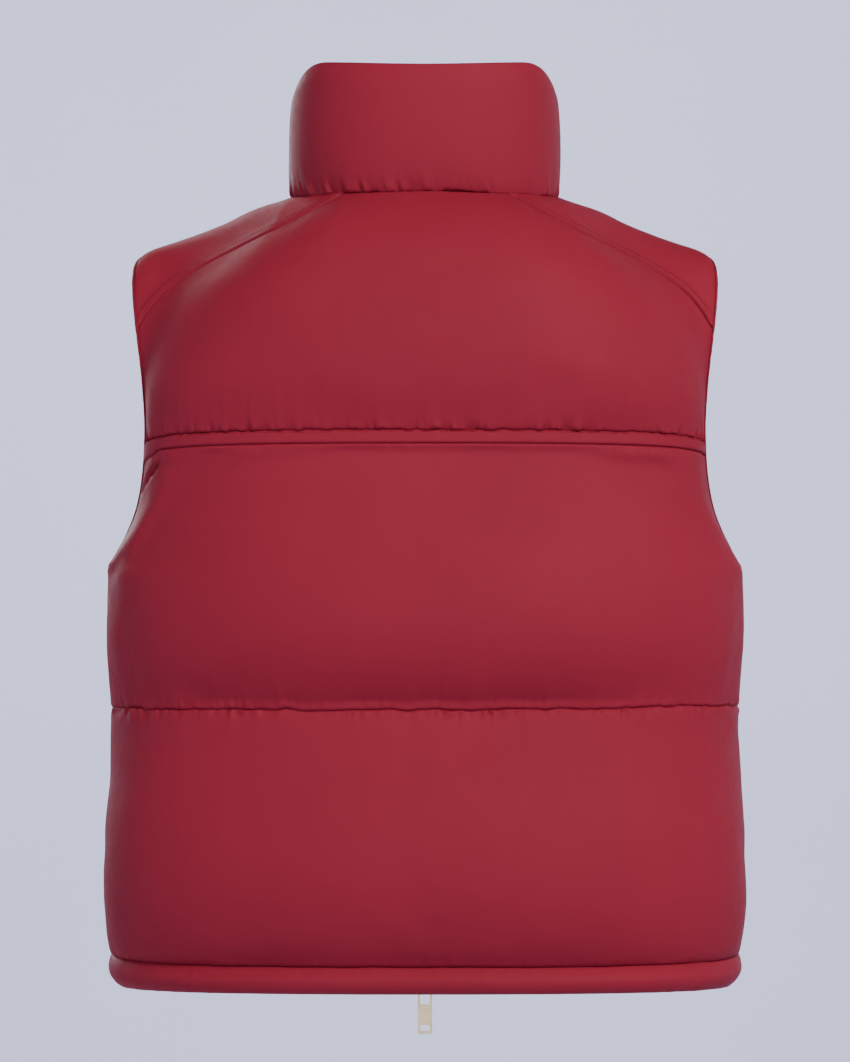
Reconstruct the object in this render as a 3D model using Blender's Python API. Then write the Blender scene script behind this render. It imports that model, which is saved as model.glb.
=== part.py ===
"""Quilted padded vest with a stand-up collar and a two-way zip, filled out as worn.

Metres, +Z up. The front faces -Y and the wearer's left is +X. The origin is the centre of the neck
base, level with the points where the neck seam crosses the shoulders.

Every cloth panel is a closed pad. Its outline lies on one seam-level surface, which runs from the hem
up to the chest as sections, and from the chest over the shoulders as curved columns.
"""

import math
from collections import namedtuple

import bmesh
import bpy
from mathutils import Vector

BACK = 1
FRONT = -1

# Walls and seams
SEAM_GAP = 0.0003
WALL = 0.004
ROUNDNESS = 2.5  # exponent of the body's superellipse sections

# Heights of the seams
BAND_TOP = -0.1865
BAND_BOTTOM = -0.1965
BAND_DROOP = 0.007
FRONT_CHEST_SEAM = -0.1925
UNDERARM = -0.291
QUILT_SEAM = -0.398
HEM_SEAM = -0.592
HEM_SEAM_RISE = 0.0045
HEM_BOTTOM = -0.6125
FRONT_HEM_DIP = 0.008

# Neck and shoulders
NECK_HALF_WIDTH = 0.102
NECK_BACK = 0.084
NECK_FRONT = 0.099
NECK_ROUNDNESS = 2.4
SHOULDER_SLOPE = 0.407
SHOULDER_HALF_WIDTH = 0.218
SHOULDER_SAG = 0.0095
RIDGE_Y = -0.005
RIDGE_ROUNDING = 0.03
YOKE_STRIP_WIDTH = 0.0105
COLLAR_BACK_TOP = 0.0965
COLLAR_FRONT_TOP = 0.080
COLLAR_TAPER = 0.985
COLLAR_LEAN = 1.01

# Armhole
ARMHOLE_HALF_DEPTH = 0.066
ARMHOLE_WIDEST = -0.175
BINDING_THICKNESS = 0.002
BINDING_PROUD = 0.0012

# Zip
FRONT_EDGE = 0.0082
TAPE_INNER = 0.0034
TAPE_THICKNESS = 0.0012
TAPE_RECESS = 0.0014
CHAIN_WIDTH = 0.006
CHAIN_THICKNESS = 0.003
CHAIN_RECESS = 0.0005
CHAIN_MIDDLE = CHAIN_RECESS + CHAIN_THICKNESS / 2  # behind the seam level
TAPE_MIDDLE = TAPE_RECESS + TAPE_THICKNESS / 2
TAPE_MIDDLE_OFFSET = TAPE_MIDDLE - CHAIN_MIDDLE

# How far each kind of panel fills out, and how far its lining does
BODY_LOFT = 0.018
BACK_MIDDLE_LOFT = 0.019
UPPER_LOFT = 0.015
HEM_LOFT = 0.009
YOKE_LOFT = 0.011
COLLAR_LOFT = 0.005
COLLAR_LINING_LOFT = 0.011
LINING_LOFT = 0.004
ARMHOLE_TAPER = 0.05  # how far from the armhole a panel reaches its full loft
ZIP_TAPER = 0.12  # the same at the zip, as a share of the panel's width

# Panel grids
NECK_COLUMNS = 4
YOKE_COLUMNS = 7
YOKE_ROWS = 4
MIDDLE_ROWS_BELOW = 4
MIDDLE_ROWS_ABOVE = 5
COLLAR_ROWS = (0.0, 0.14, 0.4, 0.68, 0.88, 1.0)

RED = (0.328, 0.025, 0.044)
DARK_RED = (0.24, 0.018, 0.032)
PALE_GOLD = (0.6, 0.5, 0.37)

Level = namedtuple("Level", "height half_width back_depth front_depth")
LEVELS = (
    Level(height=-0.622, half_width=0.227, back_depth=0.130, front_depth=0.143),
    Level(height=-0.590, half_width=0.2435, back_depth=0.136, front_depth=0.143),
    Level(height=-0.500, half_width=0.2445, back_depth=0.139, front_depth=0.143),
    Level(height=-0.398, half_width=0.2435, back_depth=0.138, front_depth=0.143),
    Level(height=-0.291, half_width=0.2425, back_depth=0.141, front_depth=0.143),
    Level(height=-0.200, half_width=0.2425, back_depth=0.141, front_depth=0.140),
    Level(height=-0.130, half_width=0.2425, back_depth=0.136, front_depth=0.132),
)

EdgeRow = namedtuple("EdgeRow", "height back_width front_width")
ARMHOLE_EDGE = (
    EdgeRow(height=-0.300, back_width=0.245, front_width=0.245),
    EdgeRow(height=-0.291, back_width=0.2425, front_width=0.2425),
    EdgeRow(height=-0.278, back_width=0.2375, front_width=0.236),
    EdgeRow(height=-0.262, back_width=0.2290, front_width=0.225),
    EdgeRow(height=-0.245, back_width=0.2220, front_width=0.216),
    EdgeRow(height=-0.225, back_width=0.2175, front_width=0.210),
    EdgeRow(height=-0.200, back_width=0.2150, front_width=0.206),
    EdgeRow(height=-0.170, back_width=0.2148, front_width=0.206),
    EdgeRow(height=-0.140, back_width=0.2158, front_width=0.207),
)

# The yoke seam as drops below its neck end, at distances from the middle.
YokeRow = namedtuple("YokeRow", "across back_drop front_drop")
YOKE_SEAM = (
    YokeRow(across=0.062, back_drop=0.000, front_drop=0.000),
    YokeRow(across=0.073, back_drop=0.006, front_drop=0.003),
    YokeRow(across=0.104, back_drop=0.023, front_drop=0.015),
    YokeRow(across=0.139, back_drop=0.039, front_drop=0.030),
    YokeRow(across=0.170, back_drop=0.054, front_drop=0.044),
    YokeRow(across=0.194, back_drop=0.069, front_drop=0.057),
    YokeRow(across=0.208, back_drop=0.082, front_drop=0.067),
    YokeRow(across=0.222, back_drop=0.103, front_drop=0.080),
    YokeRow(across=0.236, back_drop=0.126, front_drop=0.096),
)

# How far the two handles of a column's curve reach, at the middle and at the armhole.
Column = namedtuple("Column", "share chest_reach ridge_reach chest_lean ridge_spread")
BACK_COLUMNS = (
    Column(share=-0.33, chest_reach=0.126, ridge_reach=0.108, chest_lean=0.0, ridge_spread=0.0),
    Column(share=0.0, chest_reach=0.133, ridge_reach=0.108, chest_lean=0.0, ridge_spread=0.0),
    Column(share=0.33, chest_reach=0.126, ridge_reach=0.108, chest_lean=0.0, ridge_spread=0.0),
    Column(share=0.66, chest_reach=0.094, ridge_reach=0.078, chest_lean=0.0, ridge_spread=0.0),
    Column(share=1.0, chest_reach=0.058, ridge_reach=0.046, chest_lean=-0.002, ridge_spread=0.020),
)
FRONT_COLUMNS = (
    Column(share=-0.33, chest_reach=0.070, ridge_reach=0.066, chest_lean=0.0, ridge_spread=0.0),
    Column(share=0.0, chest_reach=0.070, ridge_reach=0.066, chest_lean=0.0, ridge_spread=0.0),
    Column(share=0.33, chest_reach=0.070, ridge_reach=0.066, chest_lean=0.0, ridge_spread=0.0),
    Column(share=0.66, chest_reach=0.066, ridge_reach=0.056, chest_lean=0.0, ridge_spread=0.0),
    Column(share=1.0, chest_reach=0.056, ridge_reach=0.042, chest_lean=-0.002, ridge_spread=0.018),
)


def read(table, column, at):
    """The value of a table's column at a place between its rows, on a smooth curve through them."""
    keys = [row[0] for row in table]
    values = [getattr(row, column) for row in table]
    last = len(keys) - 1
    low = max(0, min(last - 1, sum(key <= at for key in keys) - 1))
    slopes = []
    for index in (low, low + 1):
        before = max(0, index - 1)
        after = min(last, index + 1)
        slopes.append((values[after] - values[before]) / (keys[after] - keys[before]))
    span = keys[low + 1] - keys[low]
    share = (at - keys[low]) / span
    if share < 0:
        return values[low] + slopes[0] * (at - keys[low])
    if share > 1:
        return values[low + 1] + slopes[1] * (at - keys[low + 1])
    rest = 1 - share
    return (
        values[low] * rest * rest * (1 + 2 * share)
        + slopes[0] * span * share * rest * rest
        + values[low + 1] * share * share * (3 - 2 * share)
        - slopes[1] * span * share * share * rest
    )


def solve(rule, low, high):
    """Where the rule changes sign between low and high."""
    starts_positive = rule(low) > 0
    for _ in range(40):
        middle = (low + high) / 2
        if (rule(middle) > 0) == starts_positive:
            low = middle
        else:
            high = middle
    return (low + high) / 2


def mix(first, last, share):
    return first + (last - first) * share


# The seam-level surface


def armhole_edge(side, height):
    """Distance from the middle, and depth behind or before the side seam, of the panel's outer edge."""
    if height <= UNDERARM:
        return read(LEVELS, "half_width", height), 0.0
    width = read(ARMHOLE_EDGE, "back_width" if side == BACK else "front_width", height)
    turn = max(0.0, (ARMHOLE_WIDEST - height) / (ARMHOLE_WIDEST - UNDERARM))
    return width, ARMHOLE_HALF_DEPTH * math.sqrt(max(0.0, 1 - turn * turn))


def section_point(side, share, height):
    """A point below the chest: share 0 is the middle of the back or front, 1 its outer edge."""
    depth = read(LEVELS, "back_depth" if side == BACK else "front_depth", height)
    width = read(LEVELS, "half_width", height)
    edge_width, edge_depth = armhole_edge(side, height)
    free_edge = (1 - (edge_depth / depth) ** ROUNDNESS) ** (1 / ROUNDNESS)
    edge_turn = math.atan2(free_edge, edge_depth / depth)
    turn = share * mix(math.pi / 2, edge_turn, abs(share))
    across = math.sin(turn)
    deep = math.cos(turn)
    reach = (abs(across) ** ROUNDNESS + abs(deep) ** ROUNDNESS) ** (-1 / ROUNDNESS)
    drawn_in = (width * free_edge - edge_width) * share**3
    return Vector((width * across * reach - drawn_in, side * depth * deep * reach, height))


def chest_height(side, share):
    """Where the columns start: the band's upper edge at the back, the chest seam at the front."""
    droop = BAND_DROOP * abs(share) ** 3
    return (BAND_TOP if side == BACK else FRONT_CHEST_SEAM) - droop


def ridge_point(share):
    """A point on the top line of the shoulder, carried on across the neck."""
    across = SHOULDER_HALF_WIDTH * share
    start = math.hypot(NECK_HALF_WIDTH, RIDGE_ROUNDING)
    height = SHOULDER_SLOPE * (start - math.hypot(across, RIDGE_ROUNDING))
    out = (abs(across) - NECK_HALF_WIDTH) / (SHOULDER_HALF_WIDTH - NECK_HALF_WIDTH)
    if out > 0:
        height -= SHOULDER_SAG * 4 * out * (1 - out)
    return Vector((across, RIDGE_Y, height))


def shoulder_point(side, share, rise):
    """A point above the chest: rise is 0 at the chest and 1 on the shoulder's top line."""
    table = BACK_COLUMNS if side == BACK else FRONT_COLUMNS
    size = abs(share)
    height = chest_height(side, share)
    chest = section_point(side, share, height)
    step = 0.002
    upward = (section_point(side, share, height + step) - chest) / step
    ridge = ridge_point(share)
    outward = math.copysign(size**6, share)
    lean = Vector((read(table, "chest_lean", size) * outward, 0, 0))
    spread = Vector((read(table, "ridge_spread", size) * outward, 0, 0))
    lower = chest + upward * read(table, "chest_reach", size) + lean
    upper = ridge + Vector((0, side * read(table, "ridge_reach", size), 0)) + spread
    rest = 1 - rise
    return (
        chest * rest**3
        + lower * (3 * rest * rest * rise)
        + upper * (3 * rest * rise * rise)
        + ridge * rise**3
    )


def outward_normal(surface, across, along):
    """The outward normal of a surface that is read by two shares, found from points close by."""
    step = 0.0004
    over = surface(across + step, along) - surface(across - step, along)
    up = surface(across, along + step) - surface(across, along - step)
    normal = over.cross(up).normalized()
    place = surface(across, along)
    inside = Vector((0, 0, min(place.z, 0) - 0.12))
    return normal if normal.dot(place - inside) > 0 else -normal


# The seams on that surface


def neck_measure(point):
    """Under 1 inside the neck seam, seen from above, and over 1 outside it."""
    depth = NECK_BACK if point.y > 0 else NECK_FRONT
    return abs(point.x / NECK_HALF_WIDTH) ** NECK_ROUNDNESS + abs(point.y / depth) ** NECK_ROUNDNESS


def neck_rise(side, share):
    """How high a column meets the neck seam."""
    return solve(lambda rise: neck_measure(shoulder_point(side, share, rise)) - 1, 0.0, 1.0)


NECK_SHARE = solve(lambda share: neck_measure(ridge_point(share)) - 1, 0.2, 0.8)


def yoke_start_share(side):
    """The column where the yoke seam meets the neck seam."""
    across = YOKE_SEAM[0].across

    def beyond(share):
        return shoulder_point(side, share, neck_rise(side, share)).x - across

    return solve(beyond, 0.1, NECK_SHARE - 0.01)


YOKE_START = {side: yoke_start_share(side) for side in (BACK, FRONT)}


def yoke_rise(side, share):
    """How high a column meets the yoke seam."""
    start = YOKE_START[side]
    neck = shoulder_point(side, start, neck_rise(side, start))
    if share <= start:
        return neck_rise(side, start)
    column = "back_drop" if side == BACK else "front_drop"

    def above_seam(rise):
        point = shoulder_point(side, share, rise)
        return point.z - (neck.z - read(YOKE_SEAM, column, point.x))

    return solve(above_seam, 0.02, 0.98)


def strip_rise(share):
    """How high a column meets the upper edge of the flat strip along the back yoke seam."""
    rise = yoke_rise(BACK, share)
    step = 0.01
    length = (shoulder_point(BACK, share, rise + step) - shoulder_point(BACK, share, rise)).length / step
    return rise + YOKE_STRIP_WIDTH / length


def steps(first, last, count):
    return [mix(first, last, index / count) for index in range(count + 1)]


def half_shares(side):
    start = YOKE_START[side]
    return steps(0, start, NECK_COLUMNS)[:-1] + steps(start, 1, YOKE_COLUMNS)


def full_shares(side):
    half = half_shares(side)
    return [-share for share in reversed(half[1:])] + half


# Pads


Patch = namedtuple("Patch", "points normals")


def patch_of(surface, across, rows_at):
    """Points and normals of a patch. rows_at(share) lists the places along one column."""
    points = []
    normals = []
    for share in across:
        places = rows_at(share)
        points.append([surface(share, place) for place in places])
        normals.append([outward_normal(surface, share, place) for place in places])
    return Patch(points, normals)


def mirrored(patch):
    """The same patch on the wearer's other side."""

    def flip(columns):
        return [[Vector((-item.x, item.y, item.z)) for item in column] for column in columns]

    return Patch(flip(patch.points), flip(patch.normals))


def same(patch):
    return patch


def inward(line, inner_line, normals):
    """For each point of a patch's edge line, the direction across the surface into the patch."""
    directions = []
    last = len(line) - 1
    for index, normal in enumerate(normals):
        onward = line[min(last, index + 1)] - line[max(0, index - 1)]
        across = onward.cross(normal).normalized()
        towards = inner_line[index] - line[index]
        directions.append(across if across.dot(towards) > 0 else -across)
    return directions


def inset(patch, gap):
    """The patch's points with its four edges drawn in by a gap, square to each edge."""
    points = patch.points
    moved = [[point.copy() for point in column] for column in points]
    last_row = len(points[0]) - 1
    last_column = len(points) - 1
    for column, inner in ((0, 1), (last_column, last_column - 1)):
        for row, direction in enumerate(inward(points[column], points[inner], patch.normals[column])):
            moved[column][row] += direction * gap
    for row, inner in ((0, 1), (last_row, last_row - 1)):
        line = [column[row] for column in points]
        inner_line = [column[inner] for column in points]
        normals = [column[row] for column in patch.normals]
        for column, direction in enumerate(inward(line, inner_line, normals)):
            moved[column][row] += direction * gap
    return moved


def slab(columns, rows):
    """A flat closed slab of unit cells: its outer layer at z = 0 and its inner layer below."""
    mesh = bmesh.new()
    bmesh.ops.create_grid(mesh, x_segments=columns, y_segments=rows, size=0.5)
    for vertex in mesh.verts:
        vertex.co.x = round((vertex.co.x + 0.5) * columns)
        vertex.co.y = round((vertex.co.y + 0.5) * rows)
    bmesh.ops.solidify(mesh, geom=mesh.faces[:], thickness=0.5)
    return mesh


def finish(name, mesh, colour, roughness=0.55, metallic=0.0):
    """Turns a bmesh into an object with its own material, faces outward."""
    bmesh.ops.recalc_face_normals(mesh, faces=mesh.faces[:])
    if mesh.calc_volume(signed=True) < 0:
        bmesh.ops.reverse_faces(mesh, faces=mesh.faces[:])
    data = bpy.data.meshes.new(name)
    mesh.to_mesh(data)
    mesh.free()
    for polygon in data.polygons:
        polygon.use_smooth = True
    material = bpy.data.materials.new(name)
    material.use_nodes = True
    shader = material.node_tree.nodes["Principled BSDF"]
    shader.inputs["Base Color"].default_value = (*colour, 1)
    shader.inputs["Roughness"].default_value = roughness
    shader.inputs["Metallic"].default_value = metallic
    data.materials.append(material)
    thing = bpy.data.objects.new(name, data)
    bpy.data.collections["Puffer vest"].objects.link(thing)
    return thing


def shares_along(points):
    """How far along a line of points each one is, from 0 to 1."""
    reached = [0.0]
    for before, after in zip(points, points[1:]):
        reached.append(reached[-1] + (after - before).length)
    return [length / reached[-1] for length in reached]


# A place on a pad: its shares of the way across and along, how far it is from its row's nearer end,
# and the seam-level point there.
Spot = namedtuple("Spot", "across along end point")


def spots_of(patch):
    """The spot of each of a patch's points."""
    rows = [list(row) for row in zip(*patch.points)]
    across = [shares_along(row) for row in rows]
    lengths = [sum((after - before).length for before, after in zip(row, row[1:])) for row in rows]
    spots = []
    for index, column in enumerate(patch.points):
        along = shares_along(column)
        spots.append([])
        for row, point in enumerate(column):
            share = across[row][index]
            end = lengths[row] * min(share, 1 - share)
            spots[-1].append(Spot(share, along[row], end, point))
    return spots


def pad(name, patch, loft, lining_loft, fullness):
    """A closed pad on a patch. fullness(spot), from 0 to 1, is the share of the loft there."""
    columns = len(patch.points) - 1
    rows = len(patch.points[0]) - 1
    spots = spots_of(patch)
    points = inset(patch, SEAM_GAP / 2)
    mesh = slab(columns, rows)
    top = max(vertex.co.z for vertex in mesh.verts)
    outer = {}
    for vertex in mesh.verts:
        column = round(vertex.co.x)
        row = round(vertex.co.y)
        outer[vertex] = top - vertex.co.z < 0.25
        full = fullness(spots[column][row])
        normal = patch.normals[column][row]
        if outer[vertex]:
            vertex.co = points[column][row] + normal * (loft * full)
        else:
            vertex.co = points[column][row] - normal * (WALL + lining_loft * full)
    split_edge_faces(mesh, outer)
    return finish(name, mesh, RED)


def split_edge_faces(mesh, outer):
    """Splits each face of the pad's edge the same way as its neighbour's across the seam, so that the
    gap between two twisted edges stays even."""

    def outwardness(vertex):
        return abs(vertex.co.x) - 0.5 * vertex.co.z + 0.13 * vertex.co.y

    for face in [face for face in mesh.faces if 0 < sum(outer[vertex] for vertex in face.verts) < 4]:
        ordered = sorted(face.verts, key=outwardness)
        near = next(vertex for vertex in ordered if outer[vertex])
        beyond = [vertex for vertex in ordered if not outer[vertex] and not linked(near, vertex)]
        bmesh.utils.face_split(face, near, beyond[0])


def linked(first, second):
    return any(edge.other_vert(first) == second for edge in first.link_edges)


def dome(share, power):
    """0 at both ends and 1 in the middle. A larger power is flatter on top and steeper at the ends."""
    return max(0.0, 1 - abs(2 * share - 1) ** power)


def rounded(share):
    """A quarter circle up from 0 at 0, then level from 1 on."""
    return math.sqrt(max(0.0, 1 - (1 - min(1.0, share)) ** 2))


def eased(share):
    """A quarter sine up from 0 at 0, then level from 1 on."""
    return math.sin(math.pi / 2 * min(1.0, share))


def flat(spot):
    return 0.0


def sagging(share):
    """Rows run upward. The fill settles, so the fullest place is below the middle."""
    fallen = (1 - share) ** 1.45
    return max(0.0, math.sin(math.pi * fallen)) ** 0.75


def round_share(point):
    """How far round the body a point is, from 0 at the middle of the back or front to 1 at the side."""
    column = "back_depth" if point.y > 0 else "front_depth"
    deep = abs(point.y) / read(LEVELS, column, point.z)
    wide = abs(point.x) / read(LEVELS, "half_width", point.z)
    return math.atan2(wide, deep) / (math.pi / 2)


def body_fullness(spot):
    """A panel between two level seams. It thins towards the side seam and the armhole."""
    armhole = 1.0
    if spot.point.z > UNDERARM:
        armhole = eased(spot.end / ARMHOLE_TAPER)
    height = sagging(spot.along)
    return (1 - round_share(spot.point) ** 3) * armhole * height


def front_fullness(spot):
    """The same at the front, where the panel also thins at the zip."""
    armhole = 1.0
    if spot.point.z > UNDERARM and spot.across > 0.5:
        armhole = eased(spot.end / ARMHOLE_TAPER)
    side = 1 - round_share(spot.point) ** 3
    return side * armhole * rounded(spot.across / ZIP_TAPER) * sagging(spot.along)


def hem_fullness(spot):
    return math.sqrt(dome(spot.along, 2.0)) * (1 - 0.5 * abs(2 * spot.across - 1) ** 6)


def upper_fullness(spot):
    """The upper panels sit on the shoulders, so they thin towards the neck and the yoke."""
    return eased(spot.along / 0.3) ** 0.9 * eased((1 - spot.along) / 0.55) ** 1.3


def back_upper_fullness(spot):
    return upper_fullness(spot) * dome(spot.across, 3.0)


def front_upper_fullness(spot):
    return upper_fullness(spot) * (1 - spot.across**3) * rounded(spot.across / ZIP_TAPER)


def yoke_fullness(spot):
    neck = eased(spot.across / 0.35)
    tip = rounded((1 - spot.across) / 0.5)
    return dome(spot.along, 2.6) * neck * tip


def collar_fullness(spot):
    ends = min(spot.across, 1 - spot.across) / 0.05
    return rounded(ends) * math.sqrt(dome(spot.along, 2.4))


# Body panels


def rows_between(low, high, count):
    """For each column, places spread evenly between two seams."""
    return lambda share: steps(low(share), high(share), count)


def front_share(share, surface, place):
    """Moves the front's first columns out to the zip, and leaves the others where they are."""
    fade = max(0.0, 1 - share / 0.3)
    probe = 0.02
    first = FRONT_EDGE * probe / surface(FRONT, probe, place).x
    return share + first * fade * fade


def front_surface(surface):
    return lambda share, place: surface(FRONT, front_share(share, surface, place), place)


def back_surface(surface):
    return lambda share, place: surface(BACK, share, place)


def seam(height, droop=0.0):
    """A seam at this height in the middle, which droops towards its ends."""
    return lambda share: height - droop * abs(share) ** 3


def hem_bottom(side):
    if side == BACK:
        return seam(HEM_BOTTOM)
    return lambda share: HEM_BOTTOM - FRONT_HEM_DIP * (1 - abs(share)) ** 2


def middle_rows(high):
    """Rows of the middle panels from the quilting seam up. They close up above the underarm."""

    def rows_at(share):
        lower = steps(QUILT_SEAM, UNDERARM, MIDDLE_ROWS_BELOW)
        upper = [mix(UNDERARM, high(share), part**1.4) for part in steps(0, 1, MIDDLE_ROWS_ABOVE)]
        return lower + upper[1:]

    return rows_at


def body_patches():
    """Every patch of the body by name. The front's are the wearer's left, and are mirrored later."""
    hem = seam(HEM_SEAM, -HEM_SEAM_RISE)
    quilt = seam(QUILT_SEAM)
    band_bottom = seam(BAND_BOTTOM, BAND_DROOP)
    back = full_shares(BACK)
    front = half_shares(FRONT)
    back_section = back_surface(section_point)
    front_section = front_surface(section_point)

    def chest(side):
        return lambda share: chest_height(side, share)

    def above_chest(side, count):
        return rows_between(lambda share: 0.0, lambda share: top_rise(side, share), count)

    return {
        "back_lower": patch_of(back_section, back, rows_between(hem, quilt, 8)),
        "back_middle": patch_of(back_section, back, middle_rows(band_bottom)),
        "back_band": patch_of(back_section, back, rows_between(band_bottom, chest(BACK), 1)),
        "back_upper": patch_of(back_surface(shoulder_point), back, above_chest(BACK, 8)),
        "hem_back": patch_of(back_section, back, rows_between(hem_bottom(BACK), hem, 4)),
        "front_lower": patch_of(front_section, front, rows_between(hem, quilt, 8)),
        "front_middle": patch_of(front_section, front, middle_rows(chest(FRONT))),
        "front_upper": patch_of(front_surface(shoulder_point), front, above_chest(FRONT, 7)),
        "hem_front": patch_of(front_section, front, rows_between(hem_bottom(FRONT), hem, 4)),
    }


def top_rise(side, share):
    """Where an upper panel ends: at the neck seam near the middle, at the yoke seam beyond it."""
    size = abs(share)
    if size < YOKE_START[side]:
        return neck_rise(side, share)
    return yoke_rise(side, size)


YokeLine = namedtuple("YokeLine", "side start rise")


def yoke_lines():
    """The lines over the yoke, from its back seam over the shoulder to its front seam, with each one's
    side, the column where it leaves the neck seam, and how high it meets a column."""

    def line_at(side, rise):
        gap = 1e-4

        def above_neck(share):
            return neck_rise(side, share) - rise(share)

        return YokeLine(side, solve(above_neck, YOKE_START[side] + gap, NECK_SHARE - gap), rise)

    def back_rise(part):
        return lambda share: mix(strip_rise(share), 1, part)

    def front_rise(part):
        return lambda share: mix(1, yoke_rise(FRONT, share), part)

    inner_parts = steps(0, 1, YOKE_ROWS)[1:-1]
    lines = [YokeLine(BACK, YOKE_START[BACK], lambda share: yoke_rise(BACK, share))]
    lines.append(line_at(BACK, strip_rise))
    lines += [line_at(BACK, back_rise(part)) for part in inner_parts]
    lines.append(YokeLine(FRONT, NECK_SHARE, lambda share: 1.0))
    lines += [line_at(FRONT, front_rise(part)) for part in inner_parts]
    lines.append(YokeLine(FRONT, YOKE_START[FRONT], lambda share: yoke_rise(FRONT, share)))
    return lines


def yoke_patch():
    """Points and normals of the left yoke and its strip, a column of lines for each place outward."""
    points = []
    normals = []
    surfaces = {FRONT: lambda share, rise: shoulder_point(FRONT, share, rise)}
    surfaces[BACK] = lambda share, rise: shoulder_point(BACK, share, rise)
    lines = yoke_lines()
    for out in steps(0, 1, YOKE_COLUMNS):
        points.append([])
        normals.append([])
        for line in lines:
            share = mix(line.start, 1, out)
            surface = surfaces[line.side]
            points[-1].append(surface(share, line.rise(share)))
            normals[-1].append(outward_normal(surface, share, line.rise(share)))
    return Patch(points, normals)


def rows_of(patch, first, last):
    """The part of a patch between two of its rows."""
    points = [column[first : last + 1] for column in patch.points]
    normals = [column[first : last + 1] for column in patch.normals]
    return Patch(points, normals)


# Collar


def neck_line(patches, yoke):
    """Points along the left half of the neck seam, from the middle of the back to the zip."""
    middle = len(half_shares(BACK)) - 1
    back = [column[-1] for column in patches["back_upper"].points[middle : middle + NECK_COLUMNS]]
    side = yoke.points[0]
    front = [column[-1] for column in patches["front_upper"].points[:NECK_COLUMNS]]
    return back + side + list(reversed(front))


def collar_patch(patches, yoke):
    """The collar stands on the neck seam, and its columns follow that seam from zip to zip."""
    half = neck_line(patches, yoke)
    neck = [Vector((-point.x, point.y, point.z)) for point in reversed(half[1:])] + half
    points = []
    for foot in neck:
        forward = max(0.0, -foot.y / NECK_FRONT)
        top = mix(COLLAR_BACK_TOP, COLLAR_FRONT_TOP, forward)
        head = Vector((foot.x, foot.y, top))
        if abs(foot.x) > FRONT_EDGE * 1.5 or foot.y > 0:
            head.x *= COLLAR_TAPER
            head.y *= COLLAR_LEAN
        start = foot + Vector((0, 0, SEAM_GAP))
        points.append([start.lerp(head, row) for row in COLLAR_ROWS])
    normals = []
    for index, column in enumerate(points):
        before = points[max(0, index - 1)][0]
        after = points[min(len(points) - 1, index + 1)][0]
        along = Vector((after.x - before.x, after.y - before.y, 0)).normalized()
        # Seen from above the columns run from the right front, round the back, to the left front.
        normals.append([Vector((-along.y, along.x, 0))] * len(COLLAR_ROWS))
    return Patch(points, normals)


# Armhole bindings


def armhole_line(patches, yoke):
    """(point, normal) round the left armhole: up the back edge, over the shoulder, down the front."""
    rows = slice(MIDDLE_ROWS_BELOW, None)
    line = []

    def add(patch, part):
        for point, normal in zip(patch.points[-1][part], patch.normals[-1][part]):
            if not line or (line[-1][0] - point).length > 1e-4:
                line.append((point, normal))

    add(patches["back_middle"], rows)
    add(patches["back_band"], slice(None))
    add(patches["back_upper"], slice(None))
    add(yoke, slice(None))
    add(patches["front_upper"], slice(None, None, -1))
    add(patches["front_middle"], slice(None, MIDDLE_ROWS_BELOW - 1, -1))
    return line


def binding(name, line, mirror):
    """A narrow strip over the raw edge, its two ends meeting at the underarm."""
    mesh = slab(len(line) - 1, 1)
    top = max(vertex.co.z for vertex in mesh.verts)
    for vertex in mesh.verts:
        index = round(vertex.co.x)
        point, normal = line[index]
        before = line[max(0, index - 1)][0]
        after = line[min(len(line) - 1, index + 1)][0]
        onward = (after - before).normalized()
        outward = normal.cross(onward).normalized()
        height = BINDING_PROUD if round(vertex.co.y) == 1 else -WALL - BINDING_PROUD
        out = SEAM_GAP * 1.5
        if top - vertex.co.z < 0.25:
            out += BINDING_THICKNESS
        place = point + normal * height + outward * out
        if index == 0:
            place.y = max(place.y, SEAM_GAP)
        if index == len(line) - 1:
            place.y = min(place.y, -SEAM_GAP)
        vertex.co = Vector((-place.x if mirror else place.x, place.y, place.z))
    return finish(name, mesh, DARK_RED)


# Zip


def front_line(patches, collar):
    """(point, normal) up the front edge of the left front, from the hem to the collar's top."""
    line = []
    for name in ("hem_front", "front_lower", "front_middle", "front_upper"):
        patch = patches[name]
        for point, normal in zip(patch.points[0], patch.normals[0]):
            if not line or (line[-1][0] - point).length > 1e-4:
                line.append((point, Vector((0, normal.y, normal.z)).normalized()))
    for point in collar.points[-1][1:]:
        line.append((point, Vector((0, -1, 0))))
    return line


def zip_strip(name, line, inner, outer, front, thickness, colour, metallic=0.0):
    """A flat strip up the front edge, from inner to outer in x, its face this far before the seams."""
    mesh = slab(len(line) - 1, 1)
    top = max(vertex.co.z for vertex in mesh.verts)
    for vertex in mesh.verts:
        point, normal = line[round(vertex.co.x)]
        depth = front if top - vertex.co.z < 0.25 else front - thickness
        place = point + normal * depth
        across = outer if round(vertex.co.y) == 1 else inner
        vertex.co = Vector((across, place.y, place.z))
    return finish(name, mesh, colour, 0.45, metallic)


def cut_line(line, low, high):
    """The part of a line between two heights."""
    kept = []
    for (start, start_normal), (end, end_normal) in zip(line, line[1:]):
        span = end.z - start.z
        first = max(0.0, (low - start.z) / span)
        last = min(1.0, (high - start.z) / span)
        if first >= last:
            continue
        if not kept:
            kept.append((start.lerp(end, first), start_normal.lerp(end_normal, first).normalized()))
        kept.append((start.lerp(end, last), start_normal.lerp(end_normal, last).normalized()))
    return kept


# Sliders and pulls, in the slider's own frame: x across, z up the zip, -y outward

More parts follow.
